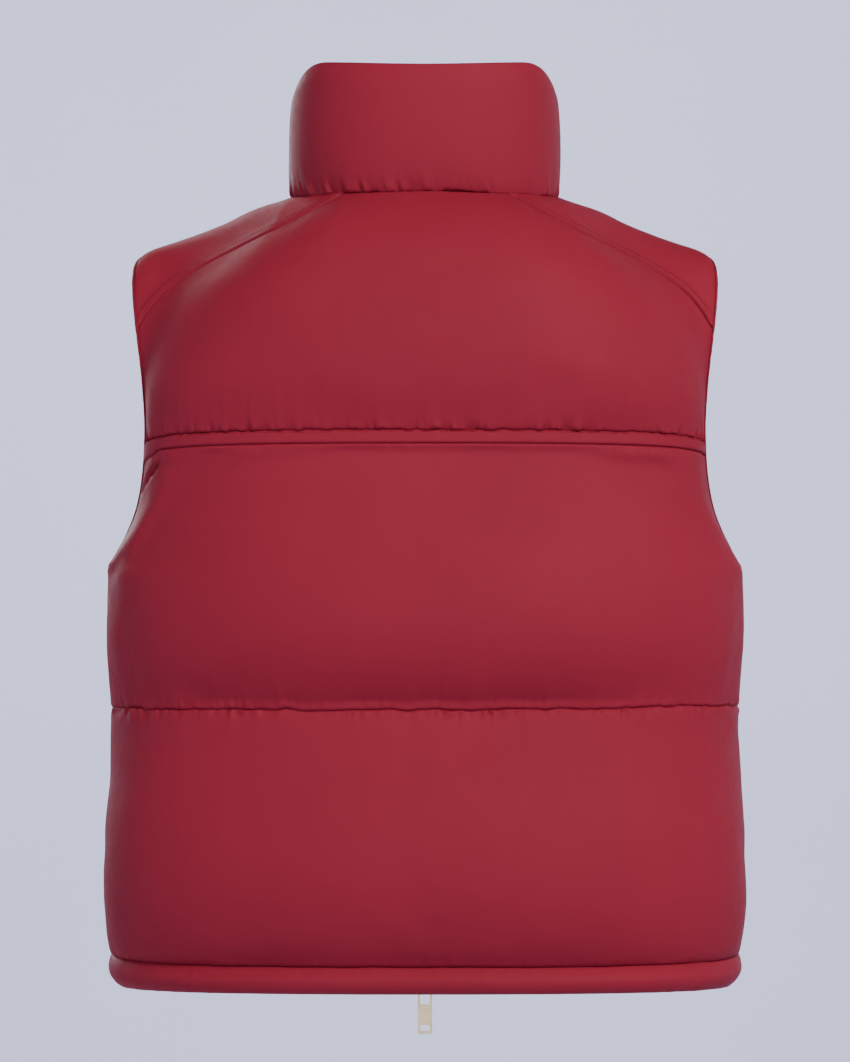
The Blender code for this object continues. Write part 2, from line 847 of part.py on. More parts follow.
OVERRUN = 0.001  # how far a cutter runs past the face that it cuts
METAL_ROUGHNESS = 0.3
SLIDER_EDGE = 0.0004
PULL_EDGE = 0.0003
SLIDER_WIDTH = 0.010
SLIDER_HEIGHT = 0.016
PLATE_THICKNESS = 0.0014
CHANNEL_WIDTH = CHAIN_WIDTH + 0.0012
CHANNEL_DEPTH = CHAIN_THICKNESS + 0.0010
TAPE_SLOT = TAPE_THICKNESS + 0.0008
POST_HALF_WIDTH = 0.0016
POST_HEIGHT = 0.005
BAIL_HALF_WIDTH = 0.0014
BAIL_HALF_HEIGHT = 0.0057
BAIL_INSIDE_HALF_HEIGHT = 0.0043
BAIL_INSIDE_DEPTH = 0.0044
BAIL_DEPTH = 0.0058

PULL_HALF_WIDTH = 0.0057
PULL_THICKNESS = 0.0018
PULL_BAR = 0.0022
PULL_SLOT_LENGTH = 0.0186
PULL_SLOT_HALF_WIDTH = 0.0038
PULL_PLATE = 0.0165
PULL_HOLE = 0.0045
PULL_END = 0.0025
PIVOT_BELOW_CENTRE = 0.0026
PIVOT_OUTWARD = 0.0022
SLIDER_PAST_HEM = 0.004
SLIDER_BELOW_TOP = 0.004


def box(low, high, bevel=0.0):
    """A box between two corners, edges rounded by bevel."""
    mesh = bmesh.new()
    bmesh.ops.create_cube(mesh, size=1)
    for vertex in mesh.verts:
        for axis in range(3):
            vertex.co[axis] = mix(low[axis], high[axis], vertex.co[axis] + 0.5)
    if bevel:
        bmesh.ops.bevel(mesh, geom=mesh.edges[:], offset=bevel, segments=2, profile=0.5, affect="EDGES")
    return mesh


def helper(name, low, high):
    """A hidden box that cuts or joins another piece."""
    data = bpy.data.meshes.new(name)
    mesh = box(low, high)
    mesh.to_mesh(data)
    mesh.free()
    thing = bpy.data.objects.new(name, data)
    thing.hide_render = True
    thing.display_type = "WIRE"
    bpy.data.collections["Cutters"].objects.link(thing)
    return thing


def combine(thing, name, operation, low, high):
    """Cuts a box from a piece, or joins it on, in the piece's own frame."""
    other = helper(f"{thing.name}_{name}", low, high)
    other.matrix_world = thing.matrix_world.copy()
    modifier = thing.modifiers.new(name, "BOOLEAN")
    modifier.operation = operation
    modifier.object = other


def slider(name, centre_y, centre_z, post_end):
    """A slider whose channel holds the chain, open to both sides for the tapes.

    post_end is -1 where the post is at the lower end, as on the lower slider, and 1 at the upper end.
    """
    half = SLIDER_WIDTH / 2
    deep = CHANNEL_DEPTH / 2
    outer = deep + PLATE_THICKNESS
    tall = SLIDER_HEIGHT / 2
    solid = box((-half, -outer, -tall), (half, outer, tall), SLIDER_EDGE)
    thing = finish(name, solid, PALE_GOLD, METAL_ROUGHNESS, 1.0)
    thing.location = (0, centre_y, centre_z)
    bpy.context.view_layer.update()
    past = tall + OVERRUN
    post = sorted((post_end * past, post_end * (tall - POST_HEIGHT)))
    free = sorted((-post_end * past, post_end * (tall - POST_HEIGHT)))
    wide = CHANNEL_WIDTH / 2
    slot_front = TAPE_MIDDLE_OFFSET - TAPE_SLOT / 2
    slot_back = TAPE_MIDDLE_OFFSET + TAPE_SLOT / 2
    combine(thing, "channel", "DIFFERENCE", (-wide, -deep, free[0]), (wide, deep, free[1]))
    for hand in (-1, 1):
        beside = sorted((hand * POST_HALF_WIDTH, hand * wide))
        low = (beside[0], -deep, post[0])
        high = (beside[1], deep, post[1])
        combine(thing, f"post_side_{hand}", "DIFFERENCE", low, high)
        flank = sorted((hand * (wide - OVERRUN / 2), hand * (half + OVERRUN)))
        low = (flank[0], slot_front, -past)
        high = (flank[1], slot_back, past)
        combine(thing, f"tape_slot_{hand}", "DIFFERENCE", low, high)
    bail_root = -outer + OVERRUN / 2
    combine(
        thing,
        "bail",
        "UNION",
        (-BAIL_HALF_WIDTH, -outer - BAIL_DEPTH, -BAIL_HALF_HEIGHT),
        (BAIL_HALF_WIDTH, bail_root, BAIL_HALF_HEIGHT),
    )
    inside = BAIL_HALF_WIDTH + OVERRUN
    combine(
        thing,
        "bail_opening",
        "DIFFERENCE",
        (-inside, -outer - BAIL_INSIDE_DEPTH, -BAIL_INSIDE_HALF_HEIGHT),
        (inside, -outer, BAIL_INSIDE_HALF_HEIGHT),
    )
    return thing


def pull(name, pivot):
    """A flat pull on its hinge line: a top bar in the bail, a slot, a plate, a hole and an end bar."""
    joint = bpy.data.objects.new(name + "_hinge", None)
    joint.location = pivot
    bpy.data.collections["Puffer vest"].objects.link(joint)
    half = PULL_THICKNESS / 2
    top = PULL_BAR / 2
    slot_end = -top - PULL_SLOT_LENGTH
    hole_top = slot_end - PULL_PLATE
    hole_end = hole_top - PULL_HOLE
    bottom = hole_end - PULL_END
    wide = PULL_HALF_WIDTH
    solid = box((-wide, -half, bottom), (wide, half, top), PULL_EDGE)
    thing = finish(name, solid, PALE_GOLD, METAL_ROUGHNESS, 1.0)
    thing.parent = joint
    bpy.context.view_layer.update()
    slot = PULL_SLOT_HALF_WIDTH
    past = half + OVERRUN
    combine(thing, "slot", "DIFFERENCE", (-slot, -past, slot_end), (slot, past, -top))
    combine(thing, "hole", "DIFFERENCE", (-slot, -past, hole_end), (slot, past, hole_top))
    return thing


def add_cloth():
    """Every panel and the bindings. It gives back the line up the front edge, for the zip."""
    patches = body_patches()
    yoke_all = yoke_patch()
    strip = rows_of(yoke_all, 0, 1)
    yoke = rows_of(yoke_all, 1, len(yoke_all.points[0]) - 1)
    collar = collar_patch(patches, yoke_all)

    pad("back_lower", patches["back_lower"], BODY_LOFT, LINING_LOFT, body_fullness)
    pad("back_middle", patches["back_middle"], BACK_MIDDLE_LOFT, LINING_LOFT, body_fullness)
    pad("back_band", patches["back_band"], 0.0, 0.0, flat)
    pad("back_upper", patches["back_upper"], UPPER_LOFT, LINING_LOFT, back_upper_fullness)
    pad("hem_back", patches["hem_back"], HEM_LOFT, LINING_LOFT, hem_fullness)
    for hand in ("left", "right"):
        side = mirrored if hand == "right" else same
        pad(f"front_lower_{hand}", side(patches["front_lower"]), BODY_LOFT, LINING_LOFT, front_fullness)
        pad(f"front_middle_{hand}", side(patches["front_middle"]), BODY_LOFT, LINING_LOFT, front_fullness)
        upper = side(patches["front_upper"])
        pad(f"front_upper_{hand}", upper, UPPER_LOFT, LINING_LOFT, front_upper_fullness)
        pad(f"hem_front_{hand}", side(patches["hem_front"]), HEM_LOFT, LINING_LOFT, hem_fullness)
        pad(f"yoke_strip_{hand}", side(strip), 0.0, 0.0, flat)
        pad(f"yoke_{hand}", side(yoke), YOKE_LOFT, LINING_LOFT, yoke_fullness)
    pad("collar", collar, COLLAR_LOFT, COLLAR_LINING_LOFT, collar_fullness)
    edge = armhole_line(patches, yoke_all)
    binding("armhole_binding_left", edge, False)
    binding("armhole_binding_right", edge, True)
    return front_line(patches, collar)


def add_zip(line):
    """Tapes and a closed chain up the front line, with a slider and its pull at each end."""
    low_centre = HEM_BOTTOM - FRONT_HEM_DIP - SLIDER_PAST_HEM + SLIDER_HEIGHT / 2
    high_centre = COLLAR_FRONT_TOP - SLIDER_BELOW_TOP - SLIDER_HEIGHT / 2
    chain_low = low_centre - SLIDER_HEIGHT / 2 + POST_HEIGHT + SEAM_GAP
    chain_high = high_centre + SLIDER_HEIGHT / 2 - POST_HEIGHT - SEAM_GAP
    edge = FRONT_EDGE - SEAM_GAP * 2
    zip_strip("zip_tape_left", line, TAPE_INNER, edge, -TAPE_RECESS, TAPE_THICKNESS, DARK_RED)
    zip_strip("zip_tape_right", line, -TAPE_INNER, -edge, -TAPE_RECESS, TAPE_THICKNESS, DARK_RED)
    half = CHAIN_WIDTH / 2
    closed = cut_line(line, chain_low, chain_high)
    zip_strip("zip_chain", closed, -half, half, -CHAIN_RECESS, CHAIN_THICKNESS, PALE_GOLD, 1.0)

    lower = slider("slider_lower", line[0][0].y + CHAIN_MIDDLE, low_centre, -1)
    upper = slider("slider_upper", line[-1][0].y + CHAIN_MIDDLE, high_centre, 1)
    for name, body in (("pull_lower", lower), ("pull_upper", upper)):
        outside = body.location.y - CHANNEL_DEPTH / 2 - PLATE_THICKNESS
        pull(name, (0, outside - PIVOT_OUTWARD, body.location.z - PIVOT_BELOW_CENTRE))


def build():
    for thing in list(bpy.data.objects):
        bpy.data.objects.remove(thing, do_unlink=True)
    for name in ("Puffer vest", "Cutters"):
        bpy.context.scene.collection.children.link(bpy.data.collections.new(name))
    add_zip(add_cloth())


build()
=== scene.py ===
"""Fine model of a quilted padded vest: panels, seams, zip and the stage around it.

Metres, +Z up. The front faces -Y and the wearer's left is +X, as in the frame.
"""

import math
from collections import namedtuple
from functools import partial

import bmesh
import bpy
import numpy as np
from bpy.props import FloatProperty, FloatVectorProperty, PointerProperty
from mathutils import Matrix, Vector


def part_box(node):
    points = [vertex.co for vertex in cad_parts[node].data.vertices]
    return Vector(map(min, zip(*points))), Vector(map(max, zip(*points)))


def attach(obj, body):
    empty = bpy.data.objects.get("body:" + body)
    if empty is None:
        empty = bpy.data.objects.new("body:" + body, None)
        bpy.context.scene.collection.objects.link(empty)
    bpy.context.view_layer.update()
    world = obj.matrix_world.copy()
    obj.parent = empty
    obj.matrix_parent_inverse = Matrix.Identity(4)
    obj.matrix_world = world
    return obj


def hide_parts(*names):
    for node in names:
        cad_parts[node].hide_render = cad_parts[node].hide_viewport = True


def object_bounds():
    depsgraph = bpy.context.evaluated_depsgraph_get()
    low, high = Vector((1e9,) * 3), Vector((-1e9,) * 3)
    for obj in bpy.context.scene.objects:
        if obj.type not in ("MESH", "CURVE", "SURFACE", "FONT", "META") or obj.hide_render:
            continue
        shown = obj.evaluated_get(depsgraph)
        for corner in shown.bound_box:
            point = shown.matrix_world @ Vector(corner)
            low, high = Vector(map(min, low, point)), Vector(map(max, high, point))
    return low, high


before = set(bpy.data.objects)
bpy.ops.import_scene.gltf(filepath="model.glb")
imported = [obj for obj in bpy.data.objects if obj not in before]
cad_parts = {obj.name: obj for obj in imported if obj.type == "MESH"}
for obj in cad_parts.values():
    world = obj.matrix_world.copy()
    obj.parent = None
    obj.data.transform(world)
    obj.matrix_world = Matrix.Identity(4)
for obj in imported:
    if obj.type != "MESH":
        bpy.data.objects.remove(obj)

bl_info = {
    "name": "Padded Vest",
    "version": (1, 0, 0),
    "blender": (4, 5, 0),
    "location": "3D View > Sidebar > Vest",
    "description": "Builds the panels, seams, zip and stage of a padded vest around its frame",
    "category": "Object",
}

CAD_BOX = [list(corner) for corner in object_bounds()]
BACK = 1
FRONT = -1

# Walls and seams
SEAM_GAP = 0.0003
OVERLAP = 0.0004
WALL = 0.004
TUCK = 0.0016
TUCK_REACH = 0.0006
ROUNDNESS = 2.5  # exponent of the body's superellipse sections
WAVE_HEIGHTS = 4096

# Heights of the seams
BAND_TOP = -0.1865
BAND_BOTTOM = -0.1965
BAND_DROOP = 0.007
FRONT_CHEST_SEAM = -0.1925
UNDERARM = -0.291
QUILT_SEAM = -0.398
HEM_SEAM = -0.592
HEM_SEAM_RISE = 0.0045
HEM_BOTTOM = -0.6125
FRONT_HEM_DIP = 0.008

# Neck and shoulders
NECK_HALF_WIDTH = 0.102
NECK_BACK = 0.084
NECK_FRONT = 0.099
NECK_ROUNDNESS = 2.4
SHOULDER_SLOPE = 0.407
SHOULDER_HALF_WIDTH = 0.218
SHOULDER_SAG = 0.0095
RIDGE_Y = -0.005
RIDGE_ROUNDING = 0.03
YOKE_STRIP_WIDTH = 0.0105
COLLAR_BACK_TOP = 0.0965
COLLAR_FRONT_TOP = 0.080
COLLAR_TAPER = 0.985
COLLAR_LEAN = 1.01

# Armhole
ARMHOLE_HALF_DEPTH = 0.066
ARMHOLE_WIDEST = -0.175
ARMHOLE_TAPER = 0.05
BINDING_THICKNESS = 0.002
BINDING_PROUD = 0.0012

# Zip
FRONT_EDGE = 0.0082
EDGE_PROBE = 0.02  # the column that shows how wide a share is near the zip
EDGE_FADE = 0.3  # the column from which the zip no longer moves the front
TAPE_INNER = 0.0026
TAPE_THICKNESS = 0.0012
TAPE_RECESS = 0.0014
CHAIN_MIDDLE = 0.002
TOOTH_THICKNESS = 0.0028
TOOTH_REACH = 0.0030
TOOTH_OFFSET = 0.00135  # from the zip's middle to a tooth's middle
TOOTH_FILL = 0.42  # share of the pitch that one tooth fills
ZIP_TAPER = 0.12

Level = namedtuple("Level", "height half_width back_depth front_depth")
LEVELS = (
    Level(-0.622, 0.227, 0.130, 0.143),
    Level(-0.590, 0.2435, 0.136, 0.143),
    Level(-0.500, 0.2445, 0.139, 0.143),
    Level(-0.398, 0.2435, 0.138, 0.143),
    Level(-0.291, 0.2425, 0.141, 0.143),
    Level(-0.200, 0.2425, 0.141, 0.140),
    Level(-0.130, 0.2425, 0.136, 0.132),
)

EdgeRow = namedtuple("EdgeRow", "height back_width front_width")
ARMHOLE_EDGE = (
    EdgeRow(-0.300, 0.245, 0.245),
    EdgeRow(-0.291, 0.2425, 0.2425),
    EdgeRow(-0.278, 0.2375, 0.236),
    EdgeRow(-0.262, 0.2290, 0.225),
    EdgeRow(-0.245, 0.2220, 0.216),
    EdgeRow(-0.225, 0.2175, 0.210),
    EdgeRow(-0.200, 0.2150, 0.206),
    EdgeRow(-0.170, 0.2148, 0.206),
    EdgeRow(-0.140, 0.2158, 0.207),
)

# The yoke seam as drops below its neck end, at distances from the middle.
YokeRow = namedtuple("YokeRow", "across back_drop front_drop")
YOKE_SEAM = (
    YokeRow(0.062, 0.000, 0.000),
    YokeRow(0.073, 0.006, 0.003),
    YokeRow(0.104, 0.023, 0.015),
    YokeRow(0.139, 0.039, 0.030),
    YokeRow(0.170, 0.054, 0.044),
    YokeRow(0.194, 0.069, 0.057),
    YokeRow(0.208, 0.082, 0.067),
    YokeRow(0.222, 0.103, 0.080),
    YokeRow(0.236, 0.126, 0.096),
)

# How far the two handles of a column's curve reach, at the middle and at the armhole.
Column = namedtuple(
    "Column", "share chest_reach ridge_reach chest_lean ridge_spread", defaults=(0.0, 0.0)
)
BACK_COLUMNS = (
    Column(-0.33, 0.126, 0.108),
    Column(0.0, 0.133, 0.108),
    Column(0.33, 0.126, 0.108),
    Column(0.66, 0.094, 0.078),
    Column(1.0, 0.058, 0.046, -0.002, 0.020),
)
FRONT_COLUMNS = (
    Column(-0.33, 0.070, 0.066),
    Column(0.0, 0.070, 0.066),
    Column(0.33, 0.070, 0.066),
    Column(0.66, 0.066, 0.056),
    Column(1.0, 0.056, 0.042, -0.002, 0.018),
)


# Numbers that vary smoothly


def mix(first, last, share):
    return first + (last - first) * share


def read(table, column, at):
    """The value of a table's column at places between its rows, on a smooth curve through them."""
    at = np.asarray(at, float)
    keys = np.array([row[0] for row in table])
    values = np.array([getattr(row, column) for row in table])
    slopes = np.gradient(values)
    slopes[1:-1] = (values[2:] - values[:-2]) / (keys[2:] - keys[:-2])
    slopes[0] = (values[1] - values[0]) / (keys[1] - keys[0])
    slopes[-1] = (values[-1] - values[-2]) / (keys[-1] - keys[-2])
    low = np.clip(np.searchsorted(keys, at, side="right") - 1, 0, len(keys) - 2)
    span = keys[low + 1] - keys[low]
    share = (at - keys[low]) / span
    inside = np.clip(share, 0, 1)
    rest = 1 - inside
    curve = values[low] * rest * rest * (1 + 2 * inside)
    curve += slopes[low] * span * inside * rest * rest
    curve += values[low + 1] * inside * inside * (3 - 2 * inside)
    curve -= slopes[low + 1] * span * inside * inside * rest
    before = slopes[low] * np.minimum(share, 0) * span
    after = slopes[low + 1] * np.maximum(share - 1, 0) * span
    return curve + before + after


def solve(rule, low, high):
    """Where the rule, which is positive at low or at high, changes sign between them."""
    low = np.array(low, float)
    high = np.array(high, float)
    starts_positive = rule(low) > 0
    for _ in range(34):
        middle = (low + high) / 2
        same = (rule(middle) > 0) == starts_positive
        low = np.where(same, middle, low)
        high = np.where(same, high, middle)
    return (low + high) / 2


def chance(seed):
    return np.random.default_rng(seed).uniform(-1, 1, WAVE_HEIGHTS)


def ripple(at, length, seed):
    """Smooth random waves from -1 to 1 along a line, with a new height at every length."""
    heights = chance(seed)
    place = np.asarray(at) / length
    step = np.floor(place).astype(int)
    part = place - step
    part = part * part * (3 - 2 * part)
    return mix(heights[step % len(heights)], heights[(step + 1) % len(heights)], part)


def billow(across, along, length, seed):
    """The same over a surface."""
    heights = chance(seed)
    column = across / length
    row = along / length
    left = np.floor(column).astype(int)
    low = np.floor(row).astype(int)
    out = column - left
    up = row - low
    out = out * out * (3 - 2 * out)
    up = up * up * (3 - 2 * up)

    def height(i, j):
        return heights[(i * 131 + j * 977) % len(heights)]

    bottom = mix(height(left, low), height(left + 1, low), out)
    top = mix(height(left, low + 1), height(left + 1, low + 1), out)
    return mix(bottom, top, up)


# The seam-level surface


def length_of(vectors):
    return np.linalg.norm(vectors, axis=-1)


def unit(vectors):
    return vectors / np.maximum(length_of(vectors), 1e-12)[..., None]


def armhole_edge(side, height):
    """Distance from the middle, and depth behind or before the side seam, of the panel's outer edge."""
    below = height <= UNDERARM
    column = "back_width" if side == BACK else "front_width"
    width = np.where(below, read(LEVELS, "half_width", height), read(ARMHOLE_EDGE, column, height))
    turn = np.clip((ARMHOLE_WIDEST - height) / (ARMHOLE_WIDEST - UNDERARM), 0, 1)
    return width, np.where(below, 0, ARMHOLE_HALF_DEPTH * np.sqrt(1 - turn * turn))


def section_point(side, share, height):
    """Points below the chest: share 0 is the middle of the back or front, 1 its outer edge."""
    share, height = np.broadcast_arrays(share, height)
    depth = read(LEVELS, "back_depth" if side == BACK else "front_depth", height)
    width = read(LEVELS, "half_width", height)
    edge_width, edge_depth = armhole_edge(side, height)
    free_edge = (1 - (edge_depth / depth) ** ROUNDNESS) ** (1 / ROUNDNESS)
    edge_turn = np.arctan2(free_edge, edge_depth / depth)
    turn = share * mix(math.pi / 2, edge_turn, abs(share))
    across = np.sin(turn)
    deep = np.cos(turn)
    reach = (abs(across) ** ROUNDNESS + abs(deep) ** ROUNDNESS) ** (-1 / ROUNDNESS)
    drawn_in = (width * free_edge - edge_width) * share**3
    return np.stack([width * across * reach - drawn_in, side * depth * deep * reach, height], -1)


def chest_height(side, share):
    """Where the columns start: the band's upper edge at the back, the chest seam at the front."""
    return (BAND_TOP if side == BACK else FRONT_CHEST_SEAM) - BAND_DROOP * abs(share) ** 3


def ridge_point(share):
    """Points on the top line of the shoulder, carried on across the neck."""
    across = SHOULDER_HALF_WIDTH * np.asarray(share, float)
    start = math.hypot(NECK_HALF_WIDTH, RIDGE_ROUNDING)
    height = SHOULDER_SLOPE * (start - np.hypot(across, RIDGE_ROUNDING))
    out = np.maximum((abs(across) - NECK_HALF_WIDTH) / (SHOULDER_HALF_WIDTH - NECK_HALF_WIDTH), 0)
    height = height - SHOULDER_SAG * 4 * out * (1 - out)
    return np.stack([across, np.full_like(across, RIDGE_Y), height], -1)


def shoulder_point(side, share, rise):
    """Points above the chest: rise is 0 at the chest and 1 on the shoulder's top line."""
    share, rise = np.broadcast_arrays(np.asarray(share, float), np.asarray(rise, float))
    table = BACK_COLUMNS if side == BACK else FRONT_COLUMNS
    size = abs(share)
    height = chest_height(side, share)
    chest = section_point(side, share, height)
    step = 0.002
    upward = (section_point(side, share, height + step) - chest) / step
    ridge = ridge_point(share)
    outward = np.copysign(size**6, share)
    lower = chest + upward * read(table, "chest_reach", size)[..., None]
    lower[..., 0] += read(table, "chest_lean", size) * outward
    upper = ridge.copy()
    upper[..., 0] += read(table, "ridge_spread", size) * outward
    upper[..., 1] += side * read(table, "ridge_reach", size)
    up = rise[..., None]
    rest = 1 - up
    return chest * rest**3 + lower * 3 * rest * rest * up + upper * 3 * rest * up * up + ridge * up**3


def outward_normals(surface, share, place):
    step = 0.0004
    over = surface(share + step, place) - surface(share - step, place)
    up = surface(share, place + step) - surface(share, place - step)
    normals = unit(np.cross(over, up))
    points = surface(share, place)
    inside = points.copy()
    inside[..., :2] = 0
    inside[..., 2] = np.minimum(points[..., 2], 0) - 0.12
    facing = np.sum(normals * (points - inside), axis=-1)
    return normals * np.where(facing > 0, 1, -1)[..., None]


# The seams on that surface


def neck_measure(point):
    """Under 1 inside the neck seam, seen from above, and over 1 outside it."""
    depth = np.where(point[..., 1] > 0, NECK_BACK, NECK_FRONT)
    across = abs(point[..., 0] / NECK_HALF_WIDTH) ** NECK_ROUNDNESS
    return across + abs(point[..., 1] / depth) ** NECK_ROUNDNESS


def neck_rise(side, share):
    """How high columns meet the neck seam."""
    share = np.asarray(share, float)
    rule = lambda rise: neck_measure(shoulder_point(side, share, rise)) - 1
    return solve(rule, np.zeros(share.shape), np.ones(share.shape))


NECK_SHARE = float(solve(lambda share: neck_measure(ridge_point(share)) - 1, 0.2, 0.8))


def yoke_start(side):
    """The column where the yoke seam meets the neck seam."""
    across = YOKE_SEAM[0].across
    rule = lambda share: shoulder_point(side, share, neck_rise(side, share))[..., 0] - across
    return float(solve(rule, 0.1, NECK_SHARE - 0.01))


YOKE_START = {side: yoke_start(side) for side in (BACK, FRONT)}


def yoke_rise(side, share):
    """How high columns meet the yoke seam."""
    start = YOKE_START[side]
    first = neck_rise(side, start)
    neck = shoulder_point(side, start, first)
    column = "back_drop" if side == BACK else "front_drop"
    share = np.asarray(share, float)

    def above_seam(rise):
        point = shoulder_point(side, share, rise)
        return point[..., 2] - (neck[..., 2] - read(YOKE_SEAM, column, point[..., 0]))

    found = solve(above_seam, np.full(share.shape, 0.02), np.full(share.shape, 0.98))
    return np.where(share <= start, first, found)


def strip_rise(share):
    """How high columns meet the upper edge of the flat strip along the back yoke seam."""
    rise = yoke_rise(BACK, share)
    step = 0.01
    length = length_of(shoulder_point(BACK, share, rise + step) - shoulder_point(BACK, share, rise)) / step
    return rise + YOKE_STRIP_WIDTH / length


def top_rise(side, share):
    """Where an upper panel ends: at the neck seam near the middle, at the yoke seam beyond it."""
    size = abs(share)
    return np.where(size < YOKE_START[side], neck_rise(side, share), yoke_rise(side, size))


def front_surface(surface):
    """The left front, whose first columns are moved out to the zip."""

    def at(share, place):
        first = FRONT_EDGE * EDGE_PROBE / surface(FRONT, np.full_like(share, EDGE_PROBE), place)[..., 0]
        fade = np.maximum(0, 1 - share / EDGE_FADE)
        return surface(FRONT, share + first * fade * fade, place)

    return at


def quilt_height(side, share):
    """The quilting seam wanders a little, and is higher on the wearer's right of the back."""
    height = QUILT_SEAM + 0.0008 * ripple(share, 0.034, 31) + 0.0005 * ripple(share, 0.013, 32)
    if side == BACK:
        right = np.maximum(0, -share)
        left = np.maximum(0, share)
        height = height + 0.0052 * right**1.4 * (1 - right**6) + 0.0016 * left**2 * (1 - share**6)
    return height


def hem_height(share):
    return HEM_SEAM + HEM_SEAM_RISE * abs(share) ** 3 + 0.0004 * ripple(share, 0.05, 33)


def hem_bottom(side, share):
    if side == BACK:
        return np.full_like(share, HEM_BOTTOM)
    return HEM_BOTTOM - FRONT_HEM_DIP * (1 - abs(share)) ** 2


def band_top(share):
    return chest_height(BACK, share) + 0.0005 * ripple(share, 0.016, 34) + 0.0003 * ripple(share, 0.007, 35)


def band_bottom(share):
    """The band's left end is folded down in a short step."""
    step = np.clip((share - 0.78) / 0.06, 0, 1)
    fold = 0.0028 * step * step * (3 - 2 * step) + 0.003 * np.clip((share - 0.84) / 0.16, 0, 1)
    return BAND_BOTTOM - BAND_DROOP * abs(share) ** 3 - fold


# Panels as grids of points


Patch = namedtuple("Patch", "points normals")


def spaced(length, fine=0.00035, coarse=0.0048, growth=1.2):
    """Shares along a line, close together at both ends and wider in the middle."""
    steps = [fine]
    while sum(steps) * 2 < length:
        steps.append(min(coarse, steps[-1] * growth))
    spans = np.array(steps + steps[::-1])
    places = np.concatenate([[0], np.cumsum(spans)])
    return places / places[-1]


def patch_at(surface, share, places):
    return Patch(surface(share, places), outward_normals(surface, share, places))


def patch_of(surface, shares, low, high, rows):
    """A patch between two seams, given as the place of each column's two ends."""
    places = mix(low[:, None], high[:, None], rows[None, :])
    return patch_at(surface, np.broadcast_to(shares[:, None], places.shape), places)


def mirrored(patch):
    return Patch(patch.points * (-1, 1, 1), patch.normals * (-1, 1, 1))


def runs(points, axis):
    """How far along its row or column each point is."""
    spans = length_of(np.diff(points, axis=axis))
    start = np.zeros_like(np.take(spans, [0], axis=axis))
    return np.cumsum(np.concatenate([start, spans], axis=axis), axis=axis)


def read_line(values, keys, at):
    """The points or normals of a line, read at these places between its keys."""
    return np.stack([np.interp(at, keys, values[:, axis]) for axis in range(3)], -1)


def smooth(values, passes):
    for _ in range(passes):
        values[1:-1] = (values[:-2] + values[1:-1] * 2 + values[2:]) / 4


def evened(points, normals, spacing):
    """The same line with points a fixed distance apart, and its normals smoothed."""
    reached = runs(points, 0)
    places = np.linspace(0, reached[-1], round(reached[-1] / spacing) + 1)
    facing = read_line(normals, reached, places)
    smooth(facing, 6)
    return read_line(points, reached, places), unit(facing)


# Distances from the four edges of a patch, shares across and along, and the points
Spots = namedtuple("Spots", "left right low high across along points")


def spots_of(patch):
    across = runs(patch.points, 0)
    along = runs(patch.points, 1)
    width = across[-1:, :]
    height = along[:, -1:]
    return Spots(across, width - across, along, height - along, across / width, along / height, patch.points)


def dome(share, power):
    """0 at both ends and 1 in the middle. A larger power is flatter on top and steeper at the ends."""
    return np.maximum(0, 1 - abs(2 * share - 1) ** power)


def rounded(share):
    """A quarter circle up from 0 at 0, then level from 1 on."""
    return np.sqrt(np.maximum(0, 1 - (1 - np.minimum(1, share)) ** 2))


def eased(share):
    """A quarter sine up from 0 at 0, then level from 1 on."""
    return np.sin(math.pi / 2 * np.clip(share, 0, 1))


def sagging(share):
    """Rows run upward. The fill settles, so the fullest place is below the middle."""
    fallen = (1 - share) ** 1.7
    return np.maximum(0, np.sin(math.pi * fallen))


def overhang(spots):
    """Strongest just above the lower seam, where the fill hangs over it."""
    near = spots.along / 0.1
    return near * np.exp(1 - near)


def round_share(points):
    """How far round the body points are, from 0 at the middle of the back or front to 1 at the side."""
    height = points[..., 2]
    back = points[..., 1] > 0
    depth = np.where(back, read(LEVELS, "back_depth", height), read(LEVELS, "front_depth", height))
    deep = abs(points[..., 1]) / depth
    wide = abs(points[..., 0]) / read(LEVELS, "half_width", height)
    return np.arctan2(wide, deep) / (math.pi / 2)


def from_armhole(spots):
    above = spots.points[..., 2] > UNDERARM
    nearest = np.minimum(spots.left, spots.right)
    return np.where(above, eased(nearest / ARMHOLE_TAPER), 1)


def bulging(spots):
    """Sagging fill that also stands up quickly beside both of its level seams."""
    nearest = np.minimum(spots.low, spots.high)
    return mix(sagging(spots.along), rounded(nearest / 0.014), 0.10)


def body_fullness(spots):
    return (1 - round_share(spots.points) ** 2.2) * from_armhole(spots) * bulging(spots)


def front_fullness(spots):
    above = (spots.points[..., 2] > UNDERARM) & (spots.across > 0.5)
    armhole = np.where(above, eased(spots.right / ARMHOLE_TAPER), 1)
    side = 1 - round_share(spots.points) ** 2.2
    return side * armhole * rounded(spots.across / ZIP_TAPER) * bulging(spots)


def hem_fullness(spots):
    flatter = mix(1, eased((1 - spots.along) / 0.45), 0.75)
    return np.sqrt(dome(spots.along, 2.0)) * flatter * (1 - 0.5 * abs(2 * spots.across - 1) ** 6)


def upper_fullness(spots):
    """The upper panels sit on the shoulders, so they thin towards the neck and the yoke."""
    return eased(spots.along / 0.3) ** 0.9 * eased((1 - spots.along) / 0.55) ** 1.3


def back_upper_fullness(spots):
    return upper_fullness(spots) * dome(spots.across, 3.0)


def front_upper_fullness(spots):
    return upper_fullness(spots) * (1 - spots.across**3) * rounded(spots.across / ZIP_TAPER)


def yoke_fullness(spots):
    across = eased(spots.across / 0.35) * rounded((1 - spots.across) / 0.5)
    return dome(spots.along, 2.6) * eased(spots.along / 0.4) * across


def strip_fullness(spots):
    return dome(spots.along, 8.0)


def collar_fullness(spots):
    ends = np.minimum(spots.across, 1 - spots.across) / 0.05
    return rounded(ends) * np.sqrt(dome(spots.along, 2.4))


# Gathers and creases


